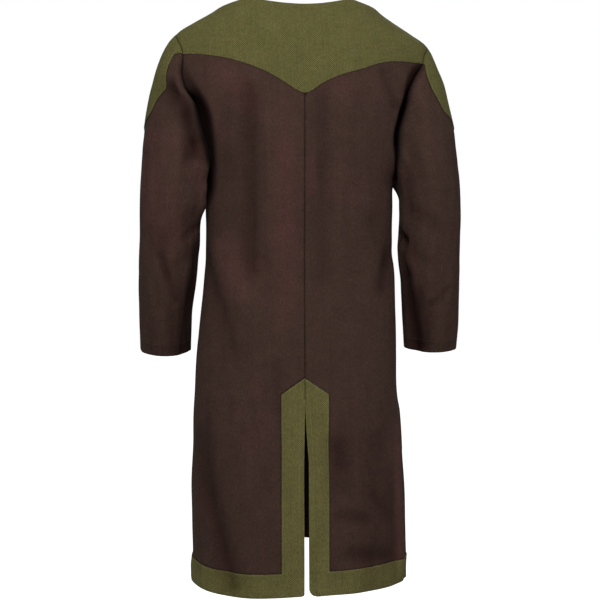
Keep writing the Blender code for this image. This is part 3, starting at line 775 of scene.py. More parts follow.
def angle_at(across, height, behind=True):
    """The angle at which the back, or the front, is this far to the left (+) or right (-) of the middle."""
    across, height = np.broadcast_arrays(np.asarray(across, float), np.asarray(height, float))
    side = np.where(across >= 0, 1.0, -1.0)
    near, far = np.zeros(across.shape), np.full(across.shape, 90.0)
    for _ in range(HALVINGS):
        middle = (near + far) / 2
        there = middle if behind else 180 - middle
        short = plain_radius(side * there, height) * np.sin(np.radians(middle)) < np.abs(across)
        near, far = np.where(short, middle, near), np.where(short, far, middle)
    return side * far if behind else side * (180 - far) % 360


def evenly(places, count):
    """The curve through the places, cut into this many equal lengths of cloth."""
    gone = travelled(body_point(places))
    return read_at(np.linspace(0, gone[-1], count + 1), gone, places)


def hem_height(angle):
    turned_angle = (np.asarray(angle, float) + 180) % 360 - 180
    return curve_through(column(HEM, "angle"), column(HEM, "height"), turned_angle)


def neckline(behind):
    """Places along the neckline, closely spaced, from the left neck point to the right one."""
    turn = np.radians(np.linspace(90, -90, CLOSE_STEPS + 1)[1:-1])
    half_width = np.where(turn >= 0, BODY[0].left, BODY[0].right)
    heights = -(NAPE_DROP if behind else FRONT_NECK_DROP) * np.cos(turn) ** 2
    between = pairs(angle_at(half_width * np.sin(turn), heights, behind), heights)
    left, right = ([(side_angle(side, behind), 0.0)] for side in (1, -1))
    return np.concatenate([left, between, right])


def armhole_half(side, behind, head_points=HEAD_POINTS):
    """Places down half of an armhole: from the shoulder tip to the yoke, and on to the underarm."""
    rows = ARMHOLES[side]
    heights = column(rows, "height")
    angles = angle_at(side * column(rows, "back" if behind else "front"), heights, behind)
    edge = side_angle(side, behind)
    angles[[0, -1]] = edge
    knots = pairs(angles, heights)
    # Mirrored first and last legs keep the armhole round where its two halves meet
    mirrored = knots * (-1, 1) + (2 * edge, 0)
    knots = np.concatenate([mirrored[1:2], knots, mirrored[-2:-1]])
    steps = np.arange(-1, len(rows) + 1)
    halves = (0, YOKE_JOIN, head_points), (YOKE_JOIN, len(rows) - 1, ARMHOLE_ROWS)
    return [
        evenly(curve_through(steps, knots, np.linspace(start, end, CLOSE_STEPS + 1)), count)
        for start, end, count in halves
    ]


def armhole_loop(side):
    """Places round a whole armhole, from the shoulder tip down the back and up the front."""
    back, front = (joined(*armhole_half(side, behind)) for behind in (True, False))
    return joined(back, front[::-1])[:-1]


def up_from_hem(bottom, top, steps):
    """Heights from the hem up: the hem band's rows first, then even steps."""
    band = np.linspace(bottom, bottom + BAND_HEIGHT, BAND_ROWS + 1)
    return joined(band, np.linspace(bottom + BAND_HEIGHT, top, steps - BAND_ROWS + 1))


def up_a_side(armhole):
    """Places up a side seam and on round the lower part of an armhole's half."""
    angle, underarm = armhole[-1]
    return joined(pairs(angle, up_from_hem(hem_height(angle), underarm, SIDE_ROWS)), armhole[::-1])


def yoke_seam(seam, behind):
    """Places along a yoke's lower seam by rising angles from armhole to armhole, closely spaced."""
    heights = column(seam, "height")
    inner = pairs(angle_at(column(seam, "across"), heights, behind), heights)
    ends = [armhole_half(side, behind)[0][-1:] for side in (1, -1)]
    places = np.concatenate([inner, *ends])
    places = places[np.argsort(places[:, 0])]
    return curve_through(np.arange(len(places)), places, np.linspace(0, len(places) - 1, CLOSE_STEPS + 1))


def middle_of(seam):
    return seam[len(seam) // 2].height


def patch(bottom, top, left, right, heights):
    """Grid of places in four borders: rows by their heights straight up, and bent to meet the sides."""
    t = np.linspace(0, 1, len(bottom))[None, :, None]
    v = ((heights - heights[0]) / (heights[-1] - heights[0]))[:, None, None]
    straight = (1 - v) * bottom + v * top
    bend_left = left[:, None] - straight[:, :1]
    bend_right = right[:, None] - straight[:, -1:]
    return straight + bend_left * (1 - t) ** SIDE_FADE + bend_right * t**SIDE_FADE


def keep_band_level(places):
    """Sets the hem band's rows to one height above the hem all round."""
    band = places[: BAND_ROWS + 1]
    band[..., 1] = hem_height(band[..., 0]) + np.linspace(0, BAND_HEIGHT, BAND_ROWS + 1)[:, None]


def slit_edge(side, height):
    """How far the slit's edge has opened from the centre back, with a round corner at the hem."""
    share = np.clip((SLIT_TOP - height) / SLIT_OPENS_OVER, 0, 1)
    corner = SLIT_CORNERS[side]
    below = np.clip(hem_height(0.0) + corner - height, 0, corner)
    cut = corner - np.sqrt(corner**2 - below**2)
    return side * (SLIT_OPENINGS[side] * share**SLIT_SWING + cut)


def back_seam_places(side):
    """The back yoke seam cut into the columns of one half of the back, from the centre outwards."""
    whole = yoke_seam(BACK_YOKE_SEAM, True)
    half = whole[whole[:, 0] * side > 0]
    half = half[np.argsort(np.abs(half[:, 0]))]
    half = np.concatenate([[(0.0, middle_of(BACK_YOKE_SEAM))], half])
    across = body_point(half)[:, 0] * side
    corner = [read_at(FACING_WIDTH, across, half)]
    inner = evenly(np.concatenate([half[across < FACING_WIDTH], corner]), FACING_COLUMNS)
    outer = evenly(np.concatenate([corner, half[across > FACING_WIDTH]]), SIDE_COLUMNS)
    return inner, outer


def back_half(side):
    """Places of one half of the back: rows from the hem to the yoke, columns from the centre to the side."""
    inner, outer = back_seam_places(side)
    hem_angles = np.linspace(angle_at(side * FACING_WIDTH, hem_height(0.0)), side * 90, SIDE_COLUMNS + 1)
    hem = pairs(hem_angles, hem_height(hem_angles))
    rows = SIDE_ROWS + ARMHOLE_ROWS
    centre = up_from_hem(hem_height(0.0), inner[0, 1], rows)[:, None]
    corner = up_from_hem(hem[0, 1], inner[-1, 1], rows)[:, None]
    share = np.linspace(0, 1, FACING_COLUMNS + 1)
    heights = centre + share * (corner - centre)
    edge = slit_edge(side, centre)
    strip = pairs(angle_at(edge + share * (side * FACING_WIDTH - edge), heights), heights)
    strip[-1] = inner
    strip[-1, 0, 0] = strip[-2, 0, 0]
    line = strip[:, -1]
    rest = patch(hem, outer, line, up_a_side(armhole_half(side, True)[1]), line[:, 1])
    keep_band_level(rest)
    return np.concatenate([strip, rest[:, 1:]], axis=1)


def front_top():
    return evenly(yoke_seam(FRONT_YOKE_SEAM, False), FRONT_COLUMNS)


def front_places():
    """Places of the front: rows from the hem to the yoke, columns from the left side to the right side."""
    hem_angles = np.linspace(90, 270, FRONT_COLUMNS + 1)
    hem = pairs(hem_angles, hem_height(hem_angles))
    left, right = (up_a_side(armhole_half(side, False)[1]) for side in (1, -1))
    heights = up_from_hem(hem_height(180.0), middle_of(FRONT_YOKE_SEAM), SIDE_ROWS + ARMHOLE_ROWS)
    places = patch(hem, front_top(), left, right, heights)
    keep_band_level(places)
    return places


def yoke_places(behind):
    """Places of a yoke: rows from its lower seam to the neck, columns from the left armhole to the right."""
    if behind:
        left, right = (joined(*back_seam_places(side)) for side in (1, -1))
        bottom = joined(left[::-1], right)
    else:
        bottom = front_top()
    left, right = (armhole_half(side, behind, YOKE_ROWS)[0] for side in (1, -1))
    shoulders = []
    for angle, tip in (left[0], right[0]):
        line = pairs(angle, np.linspace(tip, 0.0, CLOSE_STEPS + 1))
        shoulders.append(evenly(line, SHOULDER_COLUMNS))
    neck = evenly(neckline(behind), FRONT_COLUMNS - 2 * SHOULDER_COLUMNS)
    top = joined(shoulders[0], neck, shoulders[1][::-1])
    return patch(bottom, top, left[::-1], right[::-1], np.arange(YOKE_ROWS + 1))


# The sleeves' form


def arm_rings(rings, turn):
    """Tilted rings down the arm, as if on the left side."""
    heights = np.linspace(rings[0].height, rings[-1].height, ARM_ROWS + 1)[:, None]
    columns = (down_table(rings, name, heights) for name in Ring._fields[1:])
    inner, outer, middle, half_depth, back_dip = columns
    across = (outer + inner) / 2 + (outer - inner) / 2 * np.cos(turn)
    along = middle + half_depth * np.sin(turn)
    return np.stack([across, along, heights - back_dip * np.sin(turn)], axis=2)


def sleeve_folds(side, grid, fine=True):
    """How far the sleeve's folds lift its points, away from the arm's axis and nothing at the armhole."""
    relief = fold_relief(SLEEVE_FOLDS[side], SLEEVE_ANGLES, grid[..., 2], MEAN_SLEEVE_RADIUS)
    if fine:
        relief += fold_relief(FINE_SLEEVE_FOLDS[side], SLEEVE_ANGLES, grid[..., 2], MEAN_SLEEVE_RADIUS)
        relief += wave_relief(SLEEVE_ANGLES, grid[..., 2])
    return relief * np.clip(np.arange(len(grid))[:, None] / (FOLD_START * CROWN_ROWS), 0, 1)


def sleeve_grid(side, fine=True):
    """Points of a sleeve: rows from the armhole to the cuff, columns from its outer side round the back."""
    mirror = (side, 1, 1)
    start = body_point(armhole_loop(side)) * mirror
    turn = np.radians(SLEEVE_ANGLES)
    cos, sin = np.cos(turn), np.sin(turn)
    # How far each point lies towards the top, the back, the front and the underarm
    ways = (cos, CROWN_TOPS[side]), (sin, CROWN_BACK), (-sin, CROWN_FRONT), (-cos, CROWN_UNDER)
    leaving = sum(np.outer(np.clip(share, 0, 1) ** 2, (way.out, way.back, -way.down)) for share, way in ways)
    arriving = np.zeros_like(leaving)
    arriving[:, 2] = -(CROWN_END_UNDER + (CROWN_END_TOPS[side] - CROWN_END_UNDER) * (1 + cos) / 2)
    arm = arm_rings(SLEEVES[side], turn)
    t = np.linspace(0, 1, CROWN_ROWS + 1)[:, None, None]
    grid = np.concatenate([cubic(t, start, leaving, arm[0], arriving), arm[1:]])
    outward = np.stack([cos, sin, np.zeros_like(turn)], axis=1)
    return (grid + sleeve_folds(side, grid, fine)[..., None] * outward) * mirror


# Creases, and what the cloth's colour follows


def nearest_on(places, surface):
    """Distance from each point of a grid to the nearest of some points, and which one that is."""
    tree = KDTree(len(places))
    for index, place in enumerate(places.tolist()):
        tree.insert(place, index)
    tree.balance()
    found = [tree.find(point)[1:] for point in surface.reshape(-1, 3).tolist()]
    nearest, away = np.array(found).T
    return away.reshape(surface.shape[:2]), nearest.astype(int).reshape(surface.shape[:2])


def distance_to(lines, surface):
    """Distance from each point of a grid to the nearest of some lines, or a long way where there are none."""
    if not lines:
        return np.full(surface.shape[:2], FAR)
    return nearest_on(np.concatenate([close_points(line) for line in lines]), surface)[0]


def crease_sink(side, points):
    """How far points of the back sink into the crease beside the sleeve."""
    table_rows = CREASES[side]
    beyond = side * points[..., 0] - down_table(table_rows, "inner", points[..., 2])
    behind = np.clip(points[..., 1] / CREASE_STARTS_BEHIND, 0, 1)
    share = behind**2 * (3 - 2 * behind) / (1 + np.exp(-beyond / CREASE_EDGE))
    return down_table(table_rows, "sink", points[..., 2]) * share


def creased(side, grid, on_sleeve=False):
    """The grid with its crease beside the armhole's back, and how far each point sinks there."""
    line = close_points(body_point(joined(*armhole_half(side, True))))
    away, nearest = nearest_on(line, grid)
    if on_sleeve:
        width = SLEEVE_SHIFT_WIDTH
        sink = crease_sink(side, line)[nearest] * np.exp(-((away / SLEEVE_SINK_WIDTH) ** 2))
    else:
        width = BODY_SHIFT_WIDTH
        sink = crease_sink(side, grid)
    shift = down_table(CREASES[side], "shift", line[nearest, 2]) * np.exp(-((away / width) ** 2))
    return grid - np.stack([side * shift, sink, np.zeros_like(sink)], axis=2), sink


def hollow_of(folds, sink=0.0):
    """How deep cloth lies in a fold or crease, from below 0 on a ridge to 1.

    It is the share of painted shade that the cloth gets, and a ridge below 0 gets a little painted light.
    """
    return np.clip(sink / HOLLOW_CREASE - folds / HOLLOW_FOLD, *HOLLOW_LIMITS)


def grid_normals(grid, closed=False):
    """Unit normals of a grid, which face away from the middle of the body, or of a sleeve."""
    if closed:
        across = np.roll(grid, -1, axis=1) - np.roll(grid, 1, axis=1)
    else:
        across = np.gradient(grid, axis=1, edge_order=2)
    normals = unit(np.cross(np.gradient(grid, axis=0, edge_order=2), across))
    middle = grid.mean(axis=(0, 1)) if closed else 0.0
    away = (grid - middle) * (1, 1, 0)
    return normals if np.sum(normals * away) > 0 else -normals


# A chart holds how far each point lies across and up the cloth, how much painted shade it gets for its depth
# in folds and creases, and how much warmer painted highlight its colour gets
Panel = namedtuple("Panel", "points normals chart")


def body_panel(places, side=0):
    """A panel of the body at some places, creased where it is the back's left or right half."""
    points, sink = body_point(places), 0.0
    if side:
        points, sink = creased(side, points)
    angle, height = places[..., 0], places[..., 1]
    across = travelled(points, 1, (0, 1))
    middle = 0 if side else FRONT_COLUMNS // 2
    # The left half of the back runs against the others, as its columns start at the centre
    across = (across - across[:, middle : middle + 1]) * (-side if side else 1)
    up = travelled(points, 0, (1, 2)) + points[:1, :, 2]
    hollow = hollow_of(body_folds(angle, height), sink)
    warm = fold_relief(HIGHLIGHT_BODY_PATCHES, angle, height, MEAN_BODY_RADIUS)
    return Panel(points, grid_normals(points), np.stack([across, up, hollow, warm], axis=2))


def part_of(panel, rows=slice(None), columns=slice(None)):
    return Panel(*(grid[rows, columns] for grid in panel))


def turned(panel):
    """The panel with its rows and columns exchanged."""
    return Panel(*(np.swapaxes(grid, 0, 1) for grid in panel))


def at_places(grid, places):
    """A grid read between its rows and columns, at (row, column) places."""
    spots = np.clip(places, 0, np.array(grid.shape[:2]) - 1 - HAIR)
    corners = spots.astype(int)
    top, left = corners[..., 0], corners[..., 1]
    down, across = np.moveaxis(spots - corners, -1, 0)[..., None]
    upper = grid[top, left] * (1 - across) + grid[top, left + 1] * across
    lower = grid[top + 1, left] * (1 - across) + grid[top + 1, left + 1] * across
    return upper * (1 - down) + lower * down


# Meshes


def quads(sheet):
    """The faces between a grid's neighbouring corners."""
    around = sheet[:-1, :-1], sheet[:-1, 1:], sheet[1:, 1:], sheet[1:, :-1]
    return np.stack(around, axis=-1).reshape(-1, 4)


def placed(name, data, place=(0.0, 0.0, 0.0), aim=None):
    """An object at a place, turned towards another place where one is given."""
    thing = bpy.data.objects.new(name, data)
    thing.location = place
    if aim is not None:
        thing.rotation_euler = (Vector(aim) - Vector(place)).to_track_quat("-Z", "Y").to_euler()
    bpy.context.scene.collection.objects.link(thing)
    return thing


def in_scene(name, data, material):
    """An object for a finished mesh, which rides on the garment's one body."""
    data.update()
    data.shade_smooth()
    data.set_sharp_from_angle(angle=np.radians(SHARP_ANGLE))
    data.materials.append(material)
    piece = placed(name, data)
    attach(piece, "root")
    return piece


def shell(node, panel, wall, cloth, seams, rims, stitch_rows=(), sewing=None, closed=False):
    """The cloth that stands for a node: a closed wall between two offsets of a panel, and then its sewing.

    Seams, rims and stitch rows are lines that the colour follows. The last column of a closed panel is its
    first one again.
    """
    surface, normals, chart = panel
    rows, columns = surface.shape[:2]
    kept = columns - 1 if closed else columns
    layers = [surface + normals * np.reshape(offset, (-1, 1, 1)) for offset in wall]
    vertices = np.concatenate([layer[:, :kept].reshape(-1, 3) for layer in layers])
    corners = np.arange(2 * rows * columns).reshape(2, rows, columns)
    # Layer 1 is outside
    sheets = [corners[1], corners[0, ::-1], corners[:, 0], corners[::-1, -1]]
    if not closed:
        sheets += [corners[::-1, :, 0], corners[:, :, -1]]
    faces = np.concatenate([quads(sheet) for sheet in sheets])
    if np.cross(surface[1, 2] - surface[1, 1], surface[2, 1] - surface[1, 1]) @ normals[1, 1] < 0:
        faces = faces[:, ::-1]
    layer, row, near = np.unravel_index(faces, corners.shape)
    data = bpy.data.meshes.new(node)
    data.from_pydata(vertices.tolist(), [], ((layer * rows + row) * kept + near % kept).tolist())
    data.uv_layers.new(name="Weave").uv.foreach_set("vector", chart[row, near][..., :2].ravel())
    lines = {"seam": seams, "rim": rims, "stitching": [points for points, _ in stitch_rows]}
    values = {mark: distance_to(group, surface)[row, near] for mark, group in lines.items()}
    # The wall's inner face gets a fixed painted shade, the outer one the painted shade of its folds and
    # creases
    values["hollow"] = np.where(layer == 0, INSIDE_SHADE, chart[row, near, 2])
    values["warm"] = chart[row, near, 3]
    for mark, numbers in values.items():
        attribute = data.attributes.new(mark, "FLOAT", "CORNER")
        attribute.data.foreach_set("value", numbers.ravel().astype(np.float32))
    piece = in_scene(f"{node}_cloth", data, cloth.material)
    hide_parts(node)
    if stitch_rows:
        stitches(sewing, stitch_rows, cloth)


def stitches(name, stitch_rows, cloth):
    """Short stitches along lines of (points, normals): small rounded bars whose ends dip into the cloth."""
    turn = np.arange(STITCH_SIDES)[:, None] * 2 * np.pi / STITCH_SIDES
    along, thickness, lift = (column(STITCH_RINGS, part)[:, None] for part in Bead._fields)
    bars = []
    for points, normals in stitch_rows:
        gone = travelled(points)
        count = int(gone[-1] / STITCH_STEP)
        middles = (np.arange(count) + 0.5) * gone[-1] / count
        reaches = (-STITCH_LENGTH / 2, STITCH_LENGTH / 2)
        first, last = (read_at(middles + reach, gone, points)[:, None] for reach in reaches)
        ups = unit(read_at(middles, gone, normals))[:, None]
        asides = unit(np.cross(last - first, ups))
        around = np.cos(turn) * ups + np.sin(turn) * asides
        centres = first + (last - first) * along + ups * lift * STITCH_RADIUS
        bars.append(centres[:, :, None] + around[:, None] * thickness[:, None] * STITCH_RADIUS)
    vertices = np.concatenate(bars)
    faces = []
    for bar in np.arange(vertices[..., 0].size).reshape(vertices.shape[:3]):
        faces += [*quads(np.column_stack([bar, bar[:, 0]])).tolist(), bar[0, ::-1].tolist(), bar[-1].tolist()]
    data = bpy.data.meshes.new(name)
    data.from_pydata(vertices.reshape(-1, 3).tolist(), [], faces)
    in_scene(name, data, cloth.thread)


def line_in(panel, border, inset, wall, from_last=False):
    """Points on a wall's outside and their normals, inset from a border, one to a column.

    Each column is searched from its first row, or from its last.
    """
    away = distance_to([border], panel.points)
    surface, normals = panel.points, panel.normals
    if from_last:
        away, surface, normals = away[::-1], surface[::-1], normals[::-1]
    away = np.maximum.accumulate(away, axis=0)
    points, ups = (
        np.array([read_at(inset, away[:, index], grid[:, index]) for index in range(grid.shape[1])])
        for grid in (surface, normals)
    )
    return points + ups * wall[1], ups


# Materials


def total(values):
    first, *others = values
    return sum(others, first)


def weighted(layers, amounts):
    return total(layers[name] * amount for name, amount in amounts.items())


class Value:
    """What a node gives, for use in sums."""

    def __init__(self, nodes, socket):
        self.nodes = nodes
        self.socket = socket

    def __add__(self, other):
        return self.nodes.math("ADD", self, other)

    def __sub__(self, other):
        return self.nodes.math("SUBTRACT", self, other)

    def __mul__(self, other):
        return self.nodes.math("MULTIPLY", self, other)

    def __truediv__(self, other):
        return self.nodes.math("DIVIDE", self, other)


class Nodes:
    """Short ways to add nodes to a material or a world."""

    def __init__(self, owner):
        owner.use_nodes = True
        self.owner = owner
        self.tree = owner.node_tree

    def feed(self, node, inputs):
        """Links or sets a node's inputs, by name or number."""
        for label, value in inputs.items():
            socket = node.inputs[label]
            if isinstance(value, Value):
                self.tree.links.new(value.socket, socket)
            else:
                socket.default_value = (*value, 1.0) if socket.type == "RGBA" else value

    def add(self, kind, inputs=None, output=0, **settings):
        """What a new node gives."""
        node = self.tree.nodes.new(f"ShaderNode{kind}")
        for name, setting in settings.items():
            setattr(node, name, setting)
        self.feed(node, inputs or {})
        return Value(self, node.outputs[output])

    def math(self, operation, *values, clamp=False):
        return self.add("Math", dict(enumerate(values)), operation=operation, use_clamp=clamp)

    def noise(self, place, grain):
        """Noise of a grain, about -0.5 to 0.5."""
        drawn = {0: place, 1: (grain.across, grain.up, 1.0), 2: (0.0, 0.0, grain.seed)}
        vector = self.add("VectorMath", drawn, operation="MULTIPLY_ADD")
        return self.add("TexNoise", {"Vector": vector, "Scale": grain.scale, "Detail": grain.detail}) - 0.5

    def bell(self, distance, width):
        """1 where the distance is 0, falling to 0 within about two widths."""
        share = distance / width
        return self.math("EXPONENT", share * share * -1.0)

    def along(self, marks, lines):
        """What the soft lines along the marks add."""
        return total(self.bell(marks[line.mark], line.width) * line.amount for line in lines)

    def mix(self, share, first, second):
        return self.add("Mix", {0: share, 6: first, 7: second}, output=2, data_type="RGBA")

    def scaled(self, colour, factor):
        return self.add("VectorMath", {0: colour, 3: factor}, operation="SCALE")

    def tinted(self, colour, tint):
        return self.add("VectorMath", {0: colour, 1: tint}, operation="MULTIPLY")

    def bump(self, height, distance, strength=1.0):
        return self.add("Bump", {"Height": height, "Distance": distance, "Strength": strength})

    def speckled(self, colour, grain, tones):
        """A colour that a noise in space takes from one tone to another, and the noise."""
        noise = self.noise(self.add("TexCoord", output="Object"), grain)
        return self.scaled(colour, noise * (tones[1] - tones[0]) + (tones[0] + tones[1]) / 2), noise


def herringbone(wool):
    """Wool in a herringbone weave, with dark seams and grooves at seams and stitch rows.

    Its colour carries painted shade in folds, creases and on the inside, painted shadow beside laid-on edges,
    and painted highlights.
    """
    nodes = Nodes(bpy.data.materials.new(f"{wool.name} wool"))
    place = nodes.add("UVMap", uv_map="Weave")
    across, up = (nodes.add("SeparateXYZ", {0: place}, output=index) for index in (0, 1))
    names = ("seam", "rim", "stitching", "hollow", "warm")
    marks = {name: nodes.add("Attribute", output="Fac", attribute_name=name) for name in names}
    layers = {name: nodes.noise(place, grain) for name, grain in GRAINS.items()}

    wander = layers["wander"] * WEAVE_WANDER
    bent_across, bent_up = across + wander, up + wander
    zigzag = nodes.math("PINGPONG", bent_across, WEAVE_COLUMN)
    column_number = nodes.math("FLOOR", bent_across / WEAVE_COLUMN)
    half_step = nodes.math("PINGPONG", column_number, 1.0) * 0.5
    phase = (bent_up + zigzag) / WEAVE_PITCH + half_step
    layers["rib"] = nodes.math("COSINE", phase * (2 * np.pi)) * 0.5
    layers["gap"] = nodes.bell(nodes.math("PINGPONG", bent_across, WEAVE_COLUMN / 2), COLUMN_GAP)

    amounts = YARN_LAYERS | {"rib": wool.contrast, "gap": GAP_DARKENS * wool.contrast}
    yarn = nodes.mix(nodes.math("ADD", weighted(layers, amounts), 0.5, clamp=True), wool.dark, wool.light)
    # Warmer patches: noise for the wool's own uneven warmth, and the placed patches, which are painted
    # highlights on lit ridges
    patches = nodes.math("MULTIPLY", layers["warmth"], WARM_NOISE, clamp=True)
    warm = nodes.math("ADD", marks["warm"], patches, clamp=True) * wool.warmth
    yarn = nodes.mix(warm, yarn, nodes.tinted(yarn, WARM_HIGHLIGHT_TINT))
    # Painted shade: cloth deep in folds and creases, and the inside, is tinted darker and redder here
    yarn = nodes.mix(marks["hollow"], yarn, nodes.tinted(yarn, HOLLOW_SHADE_TINT))
    uneven = weighted(layers, TONE_LAYERS | {"streaks": wool.streaks}) + 1.0
    # Painted shade by depth dims the tone, and a ridge gets a little painted light
    shade = nodes.along(marks, TONE_LINES) + marks["hollow"] * HOLLOW_SHADE + 1.0
    tone = nodes.math("MAXIMUM", uneven * shade, DARKEST_TONE)

    amounts = HEIGHT_LAYERS | {"rib": RIB_HEIGHT * (PLAIN_RIB + wool.contrast)}
    puckers = (layers["pucker"] + 0.5) * nodes.along(marks, PUCKER_LINES)
    height = weighted(layers, amounts) + nodes.along(marks, HEIGHT_LINES) + puckers
    finish = {"Base Color": nodes.scaled(yarn, tone), "Normal": nodes.bump(height, 1.0, BUMP_STRENGTH)}
    nodes.feed(nodes.tree.nodes["Principled BSDF"], WOOL_FINISH | finish)
    return nodes.owner


def thread_material(wool):
    """Sewing thread: a plain twist that changes a little along its length."""
    nodes = Nodes(bpy.data.materials.new(f"{wool.name} thread"))
    colour, noise = nodes.speckled(wool.thread, THREAD_GRAIN, THREAD_TONES)
    finish = {"Base Color": colour, "Normal": nodes.bump(noise, THREAD_BUMP), "Roughness": THREAD_ROUGHNESS}
    nodes.feed(nodes.tree.nodes["Principled BSDF"], finish)
    return nodes.owner


def paper_material():
    """Pale paper with a little unevenness, lit from within so that it stays light."""
    nodes = Nodes(bpy.data.materials.new("paper"))
    finish = {
        "Base Color": nodes.speckled(PAPER_COLOUR, PAPER_GRAIN, PAPER_TONES)[0],
        "Roughness": PAPER_ROUGHNESS,
        "Emission Color": WHITE,
        "Emission Strength": nodes.add("LightPath", output="Is Camera Ray") * PAPER_GLOW,
    }
    nodes.feed(nodes.tree.nodes["Principled BSDF"], finish)
    return nodes.owner


def studio_world():
    """White walls, which give the garment a dimmer light that comes more from above than from below."""
    nodes = Nodes(bpy.data.worlds.new("studio"))
    up = nodes.add("SeparateXYZ", {0: nodes.add("TexCoord", output="Generated")}, output=2)
    light = up * WORLD_TOP_LIGHT + WORLD_LIGHT
    strength = nodes.math("MAXIMUM", nodes.add("LightPath", output="Is Camera Ray"), light)
    nodes.feed(nodes.tree.nodes["Background"], {"Color": WHITE, "Strength": strength})
    return nodes.owner


# The pieces


def seam_and_slit(points):
    """The centre back column, split where the slit starts."""
    line = points[:, 0]
    return line[line[:, 2] >= SLIT_TOP], line[line[:, 2] <= SLIT_TOP]


def slit_facing(panel):
    """The panel's first columns up to a slanted top."""
    columns = slice(FACING_COLUMNS + 1)
    heights = panel.points[..., 2]
    rows = int(np.searchsorted(heights[:, FACING_COLUMNS], FACING_SHOULDER - FACING_LAST_ROW_BELOW))
    tops = np.linspace(FACING_PEAK, FACING_SHOULDER, FACING_COLUMNS + 1)
    share = np.linspace(0, 1, FACING_TOP_ROWS + 1)[:, None, None]
    grids = []
    for grid in panel:
        slanted = np.array([read_at(top, heights[:, near], grid[:, near]) for near, top in enumerate(tops)])
        last = grid[rows - 1, columns]
        grids.append(np.concatenate([grid[: rows - 1, columns], last + (slanted - last) * share]))
    return Panel(*grids)


def make_back_half(side, word):
    panel = body_panel(back_half(side), side)
    band = part_of(panel, slice(BAND_ROWS + 1), slice(FACING_COLUMNS, None))
    facing = slit_facing(panel)
    hem, top, slit, outer = facing.points[0], facing.points[-1], facing.points[:, 0], facing.points[:, -1]
    # Painted shadow lines on the panel, just beyond the facing's and the band's edges
    beside, above = (side * TRIM_SHADOW, 0, 0), (0, 0, TRIM_SHADOW)
    shadows = [top + above, outer + beside, band.points[-1] + above]
    centre_seam, panel_slit = seam_and_slit(panel.points)
    seams = [centre_seam, panel.points[-1], panel.points[:, -1], *shadows]
    shell(f"back_{word}", panel, PANEL_WALL, BROWN, seams, [panel_slit, panel.points[0]])

    below_top = part_of(turned(facing), columns=slice(None, -FACING_TOP_ROWS))
    above_band = part_of(turned(facing), columns=slice(BAND_ROWS, None))
    rows = [
        line_in(below_top, slit, SLIT_STITCH_INSET, LAID_ON_WALL),
        line_in(above_band, outer, EDGE_STITCH_INSET, LAID_ON_WALL, from_last=True),
        line_in(facing, top, EDGE_STITCH_INSET, LAID_ON_WALL, from_last=True),
        line_in(facing, hem, HEM_STITCH_INSET, LAID_ON_WALL),
    ]
    seams, rims = [seam_and_slit(facing.points)[0]], [joined(outer[BAND_ROWS:], top[::-1]), slit, hem]
    sewing = f"slit_stitching_{word}"
    shell(f"slit_facing_{word}", facing, LAID_ON_WALL, TRIM, seams, rims, rows, sewing)
    make_band(f"back_{word}", band, [band.points[:, -1]])


def make_band(word, band, side_seams):
    hem, top = band.points[0], band.points[-1]
    rows = [
        line_in(band, hem, HEM_STITCH_INSET, LAID_ON_WALL),
        line_in(band, top, EDGE_STITCH_INSET, LAID_ON_WALL, from_last=True),
    ]
    sewing = f"hem_stitching_{word}"
    shell(f"hem_band_{word}", band, LAID_ON_WALL, TRIM, side_seams, [hem, top], rows, sewing)


def make_front():
    panel = body_panel(front_places())
    band = part_of(panel, slice(BAND_ROWS + 1))
    # A painted shadow line on the front, just above its band
    shadow = band.points[-1] + (0, 0, TRIM_SHADOW)
    seams = [panel.points[-1], panel.points[:, 0], panel.points[:, -1], shadow]
    shell("front", panel, PANEL_WALL, BROWN, seams, [panel.points[0]])
    make_band("front", band, [band.points[:, 0], band.points[:, -1]])


def make_yoke(word, behind):
    panel = body_panel(yoke_places(behind))
    lower, upper = panel.points[0], panel.points[-1]
    shoulders = [upper[: SHOULDER_COLUMNS + 1], upper[-SHOULDER_COLUMNS - 1 :]]
    between = slice(SHOULDER_COLUMNS, -SHOULDER_COLUMNS)
    neck = upper[between]
    rows = [
        line_in(panel, lower, EDGE_STITCH_INSET, YOKE_WALL),
        line_in(part_of(panel, columns=between), neck, NECK_STITCH_INSET, YOKE_WALL, from_last=True),
    ]
    seams = [panel.points[:, 0], panel.points[:, -1], *shoulders]
    shell(f"{word}_yoke", panel, YOKE_WALL, OLIVE, seams, [lower, neck], rows, f"yoke_stitching_{word}")


def make_sleeve(side, word):
    points, sink = creased(side, sleeve_grid(side), on_sleeve=True)
    hollow = hollow_of(sleeve_folds(side, points), sink)
    warm = fold_relief(HIGHLIGHT_SLEEVE_PATCHES[side], SLEEVE_ANGLES, points[..., 2], MEAN_SLEEVE_RADIUS)
    normals = grid_normals(points, closed=True)
    order = (np.arange(SLEEVE_POINTS + 1) + OUTER_COLUMN) % SLEEVE_POINTS
    points, normals, hollow, warm = (grid[:, order] for grid in (points, normals, hollow, warm))
    across = travelled(points, 1, (0, 1))
    across[:CROWN_ROWS] = across[CROWN_ROWS]
    across = across - across[:, [OUTER_COLUMN]]
    down = travelled(points)
    panel = Panel(points, normals, np.stack([across, down[-1] - down, hollow, warm], axis=2))
    outline = cap_outline(side, sleeve_grid(side, fine=False)[:, order])
    row = line_in(panel, points[-1], CUFF_STITCH_INSET, PANEL_WALL, from_last=True)
    # The cap's outline darkens the sleeve like a seam: painted shadow beside the cap's edge
    seams = [points[0], points[:, 0], at_places(points, outline)]
    sewing = f"cuff_stitching_{word}"
    shell(f"sleeve_{word}", panel, PANEL_WALL, BROWN, seams, [points[-1]], [row], sewing, closed=True)
    make_cap(word, panel, outline)


